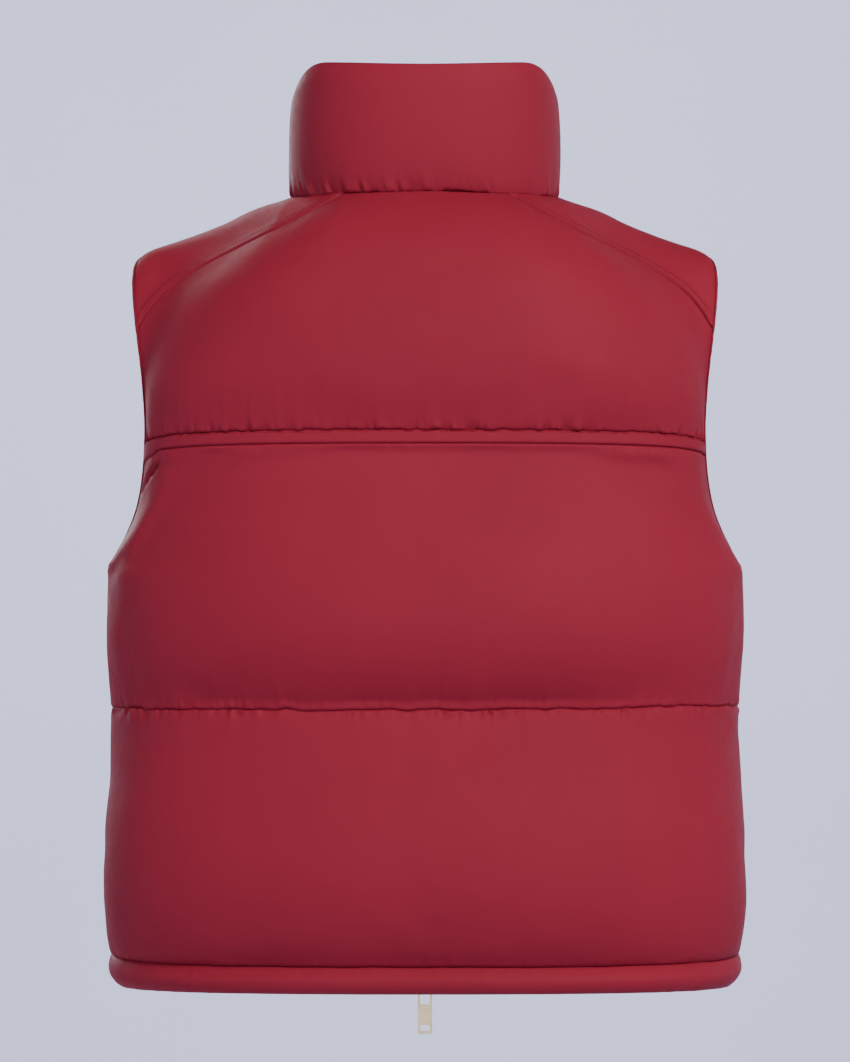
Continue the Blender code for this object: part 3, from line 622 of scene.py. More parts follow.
Gather = namedtuple("Gather", "edge depth length reach seed")
Crease = namedtuple("Crease", "start end width depth")


def gathered(spots, gather):
    """Short gathers beside a seam: how far the cloth stands out or in."""
    away = getattr(spots, gather.edge)
    level = gather.edge in ("low", "high")
    run = spots.left if level else spots.low
    near = away / (gather.reach * 0.28)
    far = away / (gather.reach * 0.7)
    uneven = 0.55 + 0.45 * ripple(run, gather.length * 9, gather.seed + 2)
    fine = ripple(run, gather.length, gather.seed) * near * np.exp(1 - near)
    broad = ripple(run, gather.length * 2.6, gather.seed + 1) * far * np.exp(1 - far)
    return gather.depth * uneven * (fine + 0.45 * broad)


def creased(points, crease):
    """A groove along a straight line, deepest in its middle."""
    start = np.array(crease.start)
    run = np.array(crease.end) - start
    length = np.linalg.norm(run)
    offset = points - start
    part = np.clip(np.sum(offset * run, axis=-1) / length**2, 0, 1)
    away = length_of(offset - part[..., None] * run)
    taper = np.sin(math.pi * np.clip(part, 0.06, 0.94)) ** 0.6
    return -crease.depth * taper * np.exp(-((away / crease.width) ** 2))


def tucked(spots, edges):
    """The cloth turns down into its seams."""
    nearest = np.minimum.reduce([getattr(spots, edge) for edge in edges])
    return -TUCK * np.exp(-nearest / TUCK_REACH)


# Meshes


def slab(columns, rows):
    """A flat closed slab of unit cells: its outer layer at z = 0 and its inner layer below."""
    mesh = bmesh.new()
    bmesh.ops.create_grid(mesh, x_segments=columns, y_segments=rows, size=0.5)
    bmesh.ops.scale(mesh, vec=(columns, rows, 1), verts=mesh.verts[:])
    bmesh.ops.translate(mesh, vec=(columns / 2, rows / 2, 0), verts=mesh.verts[:])
    bmesh.ops.solidify(mesh, geom=mesh.faces[:], thickness=0.5)
    return mesh


def finished(mesh, name):
    """The mesh data of a working mesh, which is freed."""
    data = bpy.data.meshes.new(name)
    mesh.to_mesh(data)
    mesh.free()
    return data


def coordinates(data):
    flat = np.empty(len(data.vertices) * 3, np.float32)
    data.vertices.foreach_get("co", flat)
    return flat.reshape(-1, 3).astype(float)


def place_piece(name, data, materials):
    """Puts a finished mesh in the scene on the garment."""
    for material in materials:
        data.materials.append(material)
    piece = bpy.data.objects.new(name, data)
    bpy.context.scene.collection.objects.link(piece)
    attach(piece, "garment")
    return piece


def quilted(name, outer, inner, materials):
    """A closed piece from a grid of outer points and one of inner points, with lengths as its UVs."""
    columns, rows = outer.shape[:2]
    data = finished(slab(columns - 1, rows - 1), name)
    flat = coordinates(data)
    column = np.rint(flat[:, 0]).astype(int)
    row = np.rint(flat[:, 1]).astype(int)
    is_outer = flat[:, 2] > flat[:, 2].max() - 0.25
    placed = np.where(is_outer[:, None], outer[column, row], inner[column, row])
    data.vertices.foreach_set("co", placed.astype(np.float32).ravel())
    data.update()

    corners = np.empty(len(data.loops), np.int32)
    data.loops.foreach_get("vertex_index", corners)
    across = runs(outer, 0)
    across = across - across[columns // 2 : columns // 2 + 1, :]
    along = runs(outer, 1)
    layer = data.uv_layers.new(name="Cloth")
    lengths = np.stack([across[column, row], along[column, row]], -1)[corners]
    layer.data.foreach_set("uv", lengths.astype(np.float32).ravel())
    if len(materials) > 1:
        inside = ~is_outer[corners].reshape(-1, 4).any(axis=1)
        data.polygons.foreach_set("material_index", inside.astype(np.int32))

    triangles = placed[corners.reshape(-1, 4)]
    volume = np.linalg.det(triangles[:, [0, 1, 2]]).sum() + np.linalg.det(triangles[:, [0, 2, 3]]).sum()
    if volume < 0:
        data.flip_normals()
    data.shade_smooth()
    data.set_sharp_from_angle(angle=math.radians(55))
    return place_piece(name, data, materials)


def drawn_in(points, gap):
    """The points with all four edges moved in by a gap."""
    moved = points.copy()
    moved[0] += unit(points[1] - points[0]) * gap
    moved[-1] += unit(points[-2] - points[-1]) * gap
    moved[:, 0] += unit(points[:, 1] - points[:, 0]) * gap
    moved[:, -1] += unit(points[:, -2] - points[:, -1]) * gap
    return moved


def weights(places, count):
    """A matrix that reads a smooth curve through evenly spaced values at these shares of its length."""
    spot = np.clip(places, 0, 1) * (count - 1)
    low = np.minimum(np.floor(spot).astype(int), count - 2)
    part = spot - low
    pulls = (
        -0.5 * part + part**2 - 0.5 * part**3,
        1 - 2.5 * part**2 + 1.5 * part**3,
        0.5 * part + 2 * part**2 - 1.5 * part**3,
        -0.5 * part**2 + 0.5 * part**3,
    )
    matrix = np.zeros((len(places), count))
    for shift, pull in zip((-1, 0, 1, 2), pulls):
        np.add.at(matrix, (np.arange(len(places)), np.clip(low + shift, 0, count - 1)), pull)
    return matrix


CLOTH_CELL = 0.0075
CLOTH_FRAMES = 16
CLOTH_CAP = 0.0045
CLOTH_SIDE_FADE = 0.07
CLOTH_SETTINGS = {
    "quality": 6,
    "mass": 0.15,
    "tension_stiffness": 25,
    "compression_stiffness": 25,
    "shear_stiffness": 10,
    "bending_stiffness": 0.4,
    "tension_damping": 15,
    "compression_damping": 15,
    "use_pressure": True,
}


def blown_out(points, growth, pressure):
    """How far a sheet of cloth moves when it is a little too large for its seams and filled from behind."""
    wide = runs(points, 0)[-1].max()
    tall = runs(points, 1)[:, -1].max()
    columns = max(8, round(wide / CLOTH_CELL))
    rows = max(6, round(tall / CLOTH_CELL))
    along = runs(points, 1).mean(axis=0)
    along = along / along[-1]
    even = np.interp(np.linspace(0, 1, rows + 1), along, np.arange(len(along))) / (len(along) - 1)
    across = weights(np.linspace(0, 1, columns + 1), len(points))
    upward = weights(even, points.shape[1])
    coarse = np.einsum("ci,ijk,rj->crk", across, points, upward)

    mesh = bmesh.new()
    bmesh.ops.create_grid(mesh, x_segments=columns, y_segments=rows, size=0.5)
    data = finished(mesh, "cloth_trial")
    flat = coordinates(data)
    column = np.rint((flat[:, 0] + 0.5) * columns).astype(int)
    row = np.rint((flat[:, 1] + 0.5) * rows).astype(int)
    data.vertices.foreach_set("co", coarse[column, row].astype(np.float32).ravel())
    data.update()
    trial = bpy.data.objects.new("cloth_trial", data)
    bpy.context.scene.collection.objects.link(trial)
    facing = np.array(data.polygons[len(data.polygons) // 2].normal)
    middle = coarse[columns // 2, rows // 2] - (0, 0, min(coarse[columns // 2, rows // 2, 2], 0) - 0.12)
    if facing @ middle < 0:
        data.flip_normals()
    held = trial.vertex_groups.new(name="seams")
    on_edge = (column == 0) | (column == columns) | (row == 0) | (row == rows)
    held.add([int(index) for index in np.flatnonzero(on_edge)], 1.0, "REPLACE")
    cloth = trial.modifiers.new("cloth", "CLOTH")
    cloth.settings.vertex_group_mass = "seams"
    for name, value in CLOTH_SETTINGS.items():
        setattr(cloth.settings, name, value)
    cloth.settings.uniform_pressure_force = pressure
    cloth.settings.shrink_min = -growth
    cloth.settings.effector_weights.gravity = 0
    for step in range(1, CLOTH_FRAMES + 1):
        bpy.context.scene.frame_set(step)
    settled = trial.evaluated_get(bpy.context.evaluated_depsgraph_get()).to_mesh()
    moved = np.zeros_like(coarse)
    moved[column, row] = coordinates(settled) - coarse[column, row]
    smooth(moved, 4)
    bpy.context.scene.frame_set(1)
    bpy.data.objects.remove(trial)
    bpy.data.meshes.remove(data)
    size = length_of(moved)
    moved *= (CLOTH_CAP * np.tanh(size / CLOTH_CAP) / np.maximum(size, 1e-9))[..., None]
    back = weights(along, rows + 1)
    out = weights(np.linspace(0, 1, len(points)), columns + 1)
    fine = np.einsum("ic,crk,jr->ijk", out, moved, back)
    spots = runs(points, 0)
    side = np.minimum(spots, spots[-1:] - spots)
    return fine * (eased(side / CLOTH_SIDE_FADE) ** 2)[..., None]


Filling = namedtuple("Filling", "loft lining fullness growth pressure sag", defaults=(0.0,) * 3)


def panel(name, patch, filling, gathers=(), creases=(), tucks=("low", "high"), deep=1.0, billows=0.0007):
    """A padded panel: filled out, blown up as cloth, then gathered at its seams and creased."""
    spots = spots_of(patch)
    full = filling.fullness(spots)
    normals = patch.normals
    base = drawn_in(patch.points, -OVERLAP)
    outer = base + normals * (filling.loft * full)[..., None]
    if filling.pressure:
        outer = outer + blown_out(outer, filling.growth, filling.pressure)
    seed = sum(ord(letter) for letter in name)
    ease = np.minimum(1, np.minimum.reduce([spots.low, spots.high, spots.left, spots.right]) / 0.02)
    stand = tucked(spots, tucks) * deep
    stand = stand + billows * ease * billow(spots.left, spots.low * 1.6, 0.055, seed)
    stand = stand + billows * 0.35 * ease * billow(spots.left, spots.low * 1.3, 0.019, seed + 1)
    for gather in gathers:
        stand = stand + gathered(spots, gather) * shape_settings().gather_strength
    for crease in creases:
        stand = stand + creased(patch.points, crease)
    outer = outer + normals * stand[..., None]
    outer[..., 2] -= filling.sag * full * overhang(spots)
    inner = base - normals * (WALL + filling.lining * full)[..., None]
    piece = quilted(f"{name}_cloth", outer, inner, [cloth("shell"), cloth("lining")])
    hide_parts(name)
    return piece


def shape_settings():
    return bpy.context.scene.vest_shape


def colour_settings():
    return bpy.context.scene.vest_colours


# Materials


def add_node(tree, kind, settings=(), **links):
    """Adds a node, sets its properties, and fills its inputs with values or with other nodes' outputs."""
    node = tree.nodes.new(kind)
    for name, value in dict(settings).items():
        setattr(node, name, value)
    for name, value in links.items():
        key = int(name[1:]) if name[0] == "i" and name[1:].isdigit() else name.replace("_", " ")
        socket = node.inputs[key]
        if isinstance(value, bpy.types.NodeSocket):
            tree.links.new(value, socket)
        else:
            socket.default_value = value
    return node


def maths(tree, operation, first, second=0.0, third=0.0):
    made = add_node(tree, "ShaderNodeMath", {"operation": operation}, i0=first, i1=second, i2=third)
    return made.outputs[0]


def new_group(name, inputs, outputs):
    """An empty node group with float inputs and their defaults, a vector first, and float outputs."""
    tree = bpy.data.node_groups.new(name, "ShaderNodeTree")
    tree.interface.new_socket("Vector", in_out="INPUT", socket_type="NodeSocketVector")
    for label, default in inputs:
        socket = tree.interface.new_socket(label, in_out="INPUT", socket_type="NodeSocketFloat")
        socket.default_value = default
    for label in outputs:
        tree.interface.new_socket(label, in_out="OUTPUT", socket_type="NodeSocketFloat")
    return tree, tree.nodes.new("NodeGroupInput"), tree.nodes.new("NodeGroupOutput")


def ranged(tree, value, low=0.0, high=1.0):
    """A noise value, which mostly lies between 0.3 and 0.7, spread from low to high."""
    ends = {"From_Min": 0.3, "From_Max": 0.7, "To_Min": low, "To_Max": high}
    return add_node(tree, "ShaderNodeMapRange", Value=value, **ends).outputs["Result"]


def noise(tree, place, scale, **more):
    return add_node(tree, "ShaderNodeTexNoise", Vector=place, Scale=scale, **more).outputs["Fac"]


def bumped(tree, shader, height, distance, strength=1.0, **under):
    """Gives the shader the relief of a height, over another relief if there is one."""
    bump = add_node(tree, "ShaderNodeBump", Strength=strength, Distance=distance, Height=height, **under)
    tree.links.new(bump.outputs["Normal"], shader.inputs["Normal"])


def plain_weave():
    """Threads over and under each other. Height is 1 on top of a thread."""
    if "Plain weave" in bpy.data.node_groups:
        return bpy.data.node_groups["Plain weave"]
    tree, given, result = new_group("Plain weave", [("Threads", 2600.0), ("Slub", 0.25)], ["Height"])
    parts = add_node(tree, "ShaderNodeSeparateXYZ", Vector=given.outputs["Vector"])
    half_turns = maths(tree, "MULTIPLY", given.outputs["Threads"], math.pi)
    warp = maths(tree, "ABSOLUTE", maths(tree, "SINE", maths(tree, "MULTIPLY", parts.outputs[0], half_turns)))
    weft = maths(tree, "ABSOLUTE", maths(tree, "SINE", maths(tree, "MULTIPLY", parts.outputs[1], half_turns)))
    over = add_node(
        tree, "ShaderNodeTexChecker", Vector=given.outputs["Vector"], Scale=given.outputs["Threads"]
    )
    under = maths(tree, "SUBTRACT", 1.0, over.outputs["Fac"])
    warp = maths(tree, "MULTIPLY", warp, over.outputs["Fac"])
    woven = maths(tree, "ADD", warp, maths(tree, "MULTIPLY", weft, under))
    slub = noise(tree, given.outputs["Vector"], 420.0, Detail=2.0)
    uneven = maths(tree, "MULTIPLY", slub, given.outputs["Slub"])
    tree.links.new(maths(tree, "ADD", woven, uneven), result.inputs["Height"])
    return tree


def mottle():
    """Tone is a slow drift from 0 to 1. Crinkle is a fine irregular height."""
    if "Mottle" in bpy.data.node_groups:
        return bpy.data.node_groups["Mottle"]
    tree, given, result = new_group("Mottle", [("Drift", 6.0), ("Crinkles", 120.0)], ["Tone", "Crinkle"])
    place = given.outputs["Vector"]
    drift = noise(tree, place, given.outputs["Drift"], Detail=3.0)
    fine = noise(tree, place, given.outputs["Crinkles"], Detail=4.0, Roughness=0.6, Distortion=0.6)
    tree.links.new(ranged(tree, drift), result.inputs["Tone"])
    tree.links.new(fine, result.inputs["Crinkle"])
    return tree


def group(tree, made, vector, **values):
    node = add_node(tree, "ShaderNodeGroup", {"node_tree": made}, Vector=vector)
    for name, value in values.items():
        node.inputs[name].default_value = value
    return node


def blank_material(name):
    material = bpy.data.materials.new(name)
    material.use_nodes = True
    tree = material.node_tree
    return material, tree, tree.nodes["Principled BSDF"]


def tones(tree, tone, dark, light):
    """A colour between dark and light."""
    blend = add_node(tree, "ShaderNodeMix", {"data_type": "RGBA"}, i0=tone)
    blend.inputs[6].default_value = (*dark, 1)
    blend.inputs[7].default_value = (*light, 1)
    return blend.outputs[2]


def shaded(colour, amount):
    return tuple(channel * amount for channel in colour)


# colour, threads a metre, weave relief, crinkle relief, roughness, sheen
Cloth = namedtuple("Cloth", "colour threads weave crinkle roughness sheen")


def cloth_kinds():
    colours = colour_settings()
    return {
        "shell": Cloth(tuple(colours.shell), 2600.0, 0.00003, 0.00014, 0.58, 0.0),
        "lining": Cloth(tuple(colours.lining), 2600.0, 0.00003, 0.00020, 0.55, 0.0),
        "binding": Cloth(tuple(colours.binding), 1700.0, 0.00007, 0.00008, 0.7, 0.03),
        "tape": Cloth(tuple(colours.tape), 1300.0, 0.00012, 0.00004, 0.75, 0.03),
        "thread": Cloth(tuple(colours.thread), 9000.0, 0.00003, 0.00002, 0.6, 0.0),
    }


def cloth(kind):
    """The material of one kind of cloth, made once."""
    name = f"vest_{kind}"
    if name in bpy.data.materials:
        return bpy.data.materials[name]
    made = cloth_kinds()[kind]
    material, tree, shader = blank_material(name)
    lengths = add_node(tree, "ShaderNodeUVMap", {"uv_map": "Cloth"}).outputs["UV"]
    place = add_node(tree, "ShaderNodeTexCoord").outputs["Object"]
    drift = group(tree, mottle(), place, Drift=6.0, Crinkles=150.0)
    weave = group(tree, plain_weave(), lengths, Threads=made.threads)
    colour = tones(tree, drift.outputs["Tone"], shaded(made.colour, 0.95), shaded(made.colour, 1.05))
    tree.links.new(colour, shader.inputs["Base Color"])
    rough = ranged(tree, drift.outputs["Crinkle"], made.roughness - 0.05, made.roughness + 0.05)
    tree.links.new(rough, shader.inputs["Roughness"])
    crinkle = add_node(
        tree, "ShaderNodeBump", Strength=1.0, Distance=made.crinkle, Height=drift.outputs["Crinkle"]
    )
    bumped(tree, shader, weave.outputs["Height"], made.weave, Normal=crinkle.outputs["Normal"])
    shader.inputs["Sheen Weight"].default_value = made.sheen
    shader.inputs["Sheen Roughness"].default_value = 0.4
    shader.inputs["Specular IOR Level"].default_value = 0.07
    return material


def metal(name, colour, roughness):
    """Plated metal with fine brushing and a little unevenness."""
    material, tree, shader = blank_material(name)
    place = add_node(tree, "ShaderNodeTexCoord").outputs["Object"]
    drift = group(tree, mottle(), place, Drift=90.0, Crinkles=900.0)
    stretch = add_node(tree, "ShaderNodeMapping", Vector=place, Scale=(3200.0, 3200.0, 180.0))
    brush = noise(tree, stretch.outputs["Vector"], 1.0, Detail=2.0)
    colour = tones(tree, drift.outputs["Tone"], shaded(colour, 0.9), shaded(colour, 1.06))
    tree.links.new(colour, shader.inputs["Base Color"])
    rough = ranged(tree, brush, roughness - 0.06, roughness + 0.08)
    tree.links.new(rough, shader.inputs["Roughness"])
    bumped(tree, shader, brush, 0.00002)
    shader.inputs["Metallic"].default_value = 0.65
    return material


# Settings


def length_setting(name, description, default):
    return FloatProperty(name=name, description=description, default=default, unit="LENGTH")


def loft_setting(name, what, default):
    return length_setting(name, f"How far {what} fills out", default)


def colour_setting(name, description, default):
    return FloatVectorProperty(name=name, description=description, default=default, subtype="COLOR", size=3)


class VestShape(bpy.types.PropertyGroup):
    """Sizes that change how full and how gathered the vest looks."""

    back_loft: loft_setting("Back loft", "the lower back", 0.020)
    middle_loft: loft_setting("Middle loft", "the middle back", 0.026)
    front_loft: loft_setting("Front loft", "each front", 0.018)
    upper_loft: loft_setting("Upper loft", "each upper panel", 0.015)
    hem_loft: loft_setting("Hem loft", "the hem", 0.009)
    yoke_loft: loft_setting("Yoke loft", "each yoke", 0.011)
    collar_loft: loft_setting("Collar loft", "the collar's outside", 0.005)
    collar_lining: loft_setting("Collar lining", "the collar's inside", 0.011)
    lining: loft_setting("Lining", "the lining", 0.004)
    gather_strength: FloatProperty(
        name="Gathers", description="How strong the gathers at the seams are", default=1.0, subtype="FACTOR"
    )
    stitch: length_setting("Stitch", "Length of one stitch", 0.0026)
    tooth_pitch: length_setting("Tooth pitch", "Distance between the zip's teeth", 0.0023)


class VestColours(bpy.types.PropertyGroup):
    """Colours of the cloth, the metal and the stage."""

    shell: colour_setting("Shell", "Outer cloth", (0.212, 0.0125, 0.0245))
    lining: colour_setting("Lining", "Inner cloth", (0.145, 0.0055, 0.0135))
    binding: colour_setting("Binding", "Armhole binding", (0.205, 0.0125, 0.0245))
    tape: colour_setting("Tape", "Zip tape", (0.145, 0.0055, 0.0135))
    thread: colour_setting("Thread", "Topstitching", (0.185, 0.0090, 0.0200))
    metal: colour_setting("Metal", "Plating of the zip", (1.0, 0.80, 0.45))
    stage: colour_setting("Stage", "Floor and backdrop", (0.66, 0.675, 0.83))


# Pieces


COLUMN_SPACING = 0.0013


def half_shares(side):
    start = YOKE_START[side]
    inner = round(start * 0.3 / COLUMN_SPACING)
    outer = round((1 - start) * 0.3 / COLUMN_SPACING)
    return np.concatenate([np.linspace(0, start, inner + 1)[:-1], np.linspace(start, 1, outer + 1)])


def full_shares(side):
    half = half_shares(side)
    return np.concatenate([-half[:0:-1], half])


ABOVE_BAND = Gather("low", 0.0022, 0.0029, 0.006, 11)
UNDER_PUFF = Gather("low", 0.0011, 0.0030, 0.009, 21)
TOP_OF_PANEL = Gather("high", 0.0026, 0.0030, 0.006, 41)
AT_HEM = Gather("low", 0.0005, 0.0040, 0.009, 51)
AT_SIDES = (Gather("left", 0.0003, 0.006, 0.010, 61), Gather("right", 0.0003, 0.006, 0.010, 71))


HEM_CREASES = (
    Crease((0.036, 0.15, -0.612), (0.030, 0.15, -0.602), 0.0016, 0.0010),
    Crease((-0.150, 0.13, -0.596), (-0.157, 0.13, -0.605), 0.0018, 0.0010),
    Crease((0.145, 0.13, -0.610), (0.152, 0.13, -0.600), 0.0016, 0.0009),
    Crease((-0.06, 0.15, -0.611), (-0.052, 0.15, -0.603), 0.0015, 0.0007),
)
BAND_CREASES = (
    Crease((0.2055, 0.11, -0.189), (0.2040, 0.11, -0.200), 0.0012, 0.0012),
    Crease((0.1960, 0.11, -0.190), (0.1985, 0.11, -0.198), 0.0012, 0.0008),
    Crease((-0.2035, 0.11, -0.190), (-0.2010, 0.11, -0.201), 0.0012, 0.0010),
)


class VEST_OT_back(bpy.types.Operator):
    """Make the upper, middle and lower back panels"""

    bl_idname = "vest.back"
    bl_label = "Back Panels"

    def execute(self, context):
        shape = shape_settings()
        shares = full_shares(BACK)
        section = partial(section_point, BACK)
        first = (band_top(shares) - chest_height(BACK, shares)) / 0.36
        upper = patch_of(partial(shoulder_point, BACK), shares, first, top_rise(BACK, shares), spaced(0.215))
        filling = Filling(shape.upper_loft, shape.lining, back_upper_fullness, 0.002, 2.0)
        neck = Gather("high", 0.0003, 0.0034, 0.008, 81)
        panel("back_upper", upper, filling, (ABOVE_BAND, neck) + AT_SIDES, deep=1.7)

        middle = patch_of(section, shares, quilt_height(BACK, shares), band_bottom(shares), spaced(0.21))
        filling = Filling(shape.middle_loft, shape.lining, body_fullness, 0.003, 4.0, 0.003)
        corner = (
            Crease((0.2160, 0.066, -0.2290), (0.2020, 0.094, -0.2060), 0.0019, 0.0060),
            Crease((0.2030, 0.092, -0.2110), (0.1880, 0.105, -0.2150), 0.0030, 0.0012),
            Crease((0.2060, 0.088, -0.2200), (0.1920, 0.103, -0.2300), 0.0035, 0.0010),
            Crease((-0.214, 0.080, -0.206), (-0.202, 0.098, -0.214), 0.0022, 0.0028),
            Crease((-0.214, 0.080, -0.212), (-0.190, 0.106, -0.221), 0.0035, 0.0012),
        )
        high = TOP_OF_PANEL._replace(depth=0.0006)
        panel("back_middle", middle, filling, (UNDER_PUFF, high) + AT_SIDES, corner)

        lower = patch_of(section, shares, hem_height(shares), quilt_height(BACK, shares), spaced(0.2))
        filling = Filling(shape.back_loft, shape.lining, body_fullness, 0.003, 4.0, 0.003)
        overhang = (
            Crease((-0.115, 0.136, -0.585), (-0.050, 0.142, -0.589), 0.0030, 0.0018),
            Crease((-0.215, 0.070, -0.575), (-0.180, 0.105, -0.585), 0.0040, 0.0015),
            Crease((0.160, 0.118, -0.582), (0.120, 0.132, -0.588), 0.0035, 0.0012),
        )
        gathers = (AT_HEM, TOP_OF_PANEL) + AT_SIDES
        panel("back_lower", lower, filling, gathers, overhang)
        return {"FINISHED"}


class VEST_OT_fronts(bpy.types.Operator):
    """Make the upper, middle and lower front panels on both sides of the zip"""

    bl_idname = "vest.fronts"
    bl_label = "Front Panels"

    def execute(self, context):
        shape = shape_settings()
        shares = half_shares(FRONT)
        section = front_surface(section_point)
        zeros = np.zeros_like(shares)
        chest = chest_height(FRONT, shares)
        quilt = quilt_height(FRONT, shares)
        placket = Gather("left", 0.0006, 0.005, 0.014, 91)
        side = Gather("right", 0.0003, 0.006, 0.010, 95)
        kinds = (
            (
                "front_upper",
                patch_of(front_surface(shoulder_point), shares, zeros, top_rise(FRONT, shares), spaced(0.17)),
                Filling(shape.upper_loft, shape.lining, front_upper_fullness, 0.002, 2.0),
                (ABOVE_BAND, placket, side),
            ),
            (
                "front_middle",
                patch_of(section, shares, quilt, chest, spaced(0.21)),
                Filling(shape.front_loft, shape.lining, front_fullness, 0.003, 4.0, 0.005),
                (UNDER_PUFF, TOP_OF_PANEL, placket, side),
            ),
            (
                "front_lower",
                patch_of(section, shares, hem_height(shares), quilt, spaced(0.2)),
                Filling(shape.front_loft, shape.lining, front_fullness, 0.003, 4.0, 0.005),
                (AT_HEM, TOP_OF_PANEL, placket, side),
            ),
        )
        for name, patch, filling, gathers in kinds:
            for hand, sided in (("left", patch), ("right", mirrored(patch))):
                shift = 0 if hand == "left" else 7
                own = [gather._replace(seed=gather.seed + shift) for gather in gathers]
                panel(f"{name}_{hand}", sided, filling, own)
        return {"FINISHED"}


class VEST_OT_hem(bpy.types.Operator):
    """Make the padded hem, one piece at the back and one on each side of the zip"""

    bl_idname = "vest.hem"
    bl_label = "Hem"

    def execute(self, context):
        shape = shape_settings()
        filling = Filling(shape.hem_loft, shape.lining, hem_fullness)
        gathers = (Gather("high", 0.0006, 0.0042, 0.010, 101), Gather("low", 0.0004, 0.0060, 0.012, 107))
        rows = spaced(0.024, 0.0004, 0.0018)
        shares = full_shares(BACK)
        bottom = hem_bottom(BACK, shares)
        back = patch_of(partial(section_point, BACK), shares, bottom, hem_height(shares), rows)
        panel("hem_back", back, filling, gathers, HEM_CREASES, billows=0.0005)
        shares = half_shares(FRONT)
        bottom = hem_bottom(FRONT, shares)
        front = patch_of(front_surface(section_point), shares, bottom, hem_height(shares), rows)
        for hand, sided in (("left", front), ("right", mirrored(front))):
            panel(f"hem_front_{hand}", sided, filling, gathers, billows=0.0005)
        return {"FINISHED"}


def yoke_grids():
    """The left yoke's pad and its flat strip: columns run outward from the neck, rows from back to front."""
    out = np.linspace(0, 1, 96)
    gap = 1e-4

    def back_rises(share, parts):
        return mix(strip_rise(share), 1, parts)

    def front_rises(share, parts):
        return mix(1, yoke_rise(FRONT, share), parts)

    def strip_rises(share, parts):
        return mix(yoke_rise(BACK, share), strip_rise(share), parts)

    def starts(side, rises, parts):
        """The column where each line leaves the neck seam."""
        low = np.full(len(parts), YOKE_START[side] + gap)
        high = np.full(len(parts), NECK_SHARE - gap)
        return solve(lambda share: neck_rise(side, share) - rises(share, parts), low, high)

    def grid(side, first, rises, parts):
        share = mix(first[None, :], 1, out[:, None])
        return patch_at(partial(shoulder_point, side), share, rises(share, parts))

    parts = spaced(0.075)
    back_starts = np.append(starts(BACK, back_rises, parts[:-1]), NECK_SHARE)
    front_starts = np.append(starts(FRONT, front_rises, parts[1:-1]), YOKE_START[FRONT])
    back = grid(BACK, back_starts, back_rises, parts)
    front = grid(FRONT, front_starts, front_rises, parts[1:])
    yoke = Patch(*(np.concatenate(both, axis=1) for both in zip(back, front)))
    strip_parts = spaced(YOKE_STRIP_WIDTH, 0.0004, 0.0015)
    strip_starts = mix(YOKE_START[BACK], back_starts[0], strip_parts)
    return yoke, grid(BACK, strip_starts, strip_rises, strip_parts)


class VEST_OT_yokes(bpy.types.Operator):
    """Make the shoulder yokes and the flat strips along their back seams"""

    bl_idname = "vest.yokes"
    bl_label = "Yokes"

    def execute(self, context):
        shape = shape_settings()
        yoke, strip = yoke_grids()
        filling = Filling(shape.yoke_loft, shape.lining, yoke_fullness)
        flat = Filling(0.0005, 0.0, strip_fullness)
        back = Gather("low", 0.0002, 0.0032, 0.008, 121)
        front = Gather("high", 0.0005, 0.0034, 0.012, 131)
        neck = Gather("left", 0.0005, 0.0040, 0.012, 141)
        arm = Gather("right", 0.0004, 0.0050, 0.012, 151)
        for hand, turn in (("left", lambda patch: patch), ("right", mirrored)):
            pad = panel(f"yoke_{hand}", turn(yoke), filling, (back, front, neck, arm), tucks=("high",))
            edge = panel(f"yoke_strip_{hand}", turn(strip), flat, tucks=("low",), deep=1.7, billows=0.0)
        return {"FINISHED"}


class VEST_OT_band(bpy.types.Operator):
    """Make the flat band across the back"""

    bl_idname = "vest.band"
    bl_label = "Back Band"

    def execute(self, context):
        shares = full_shares(BACK)
        rows = spaced(0.0105, 0.0004, 0.0012)
        patch = patch_of(
            partial(section_point, BACK), shares, band_bottom(shares), band_top(shares), rows
        )
        flat = Filling(0.0010, 0.0, strip_fullness)
        upper = Gather("high", 0.00035, 0.0026, 0.005, 161)
        panel("back_band", patch, flat, (upper,), BAND_CREASES, billows=0.0002)
        return {"FINISHED"}


def neck_line(count):
    """Points up to the zip along the left half of the neck seam, from the middle of the back."""
    back = np.linspace(0, NECK_SHARE, count)
    back_points = shoulder_point(BACK, back, neck_rise(BACK, back))
    front = np.linspace(NECK_SHARE, 0, count)
    fade = np.maximum(0, 1 - front / EDGE_FADE)
    probed = shoulder_point(FRONT, EDGE_PROBE, neck_rise(FRONT, EDGE_PROBE))
    first = FRONT_EDGE * EDGE_PROBE / probed[..., 0]
    front = front + first * fade * fade
    front_points = shoulder_point(FRONT, front, neck_rise(FRONT, front))
    return np.concatenate([back_points[:-1], front_points])


def evenly(line, spacing):
    """The same line with points a fixed distance apart."""
    reached = runs(line, 0)
    count = max(2, round(reached[-1] / spacing))
    places = np.linspace(0, reached[-1], count + 1)
    return read_line(line, reached, places)


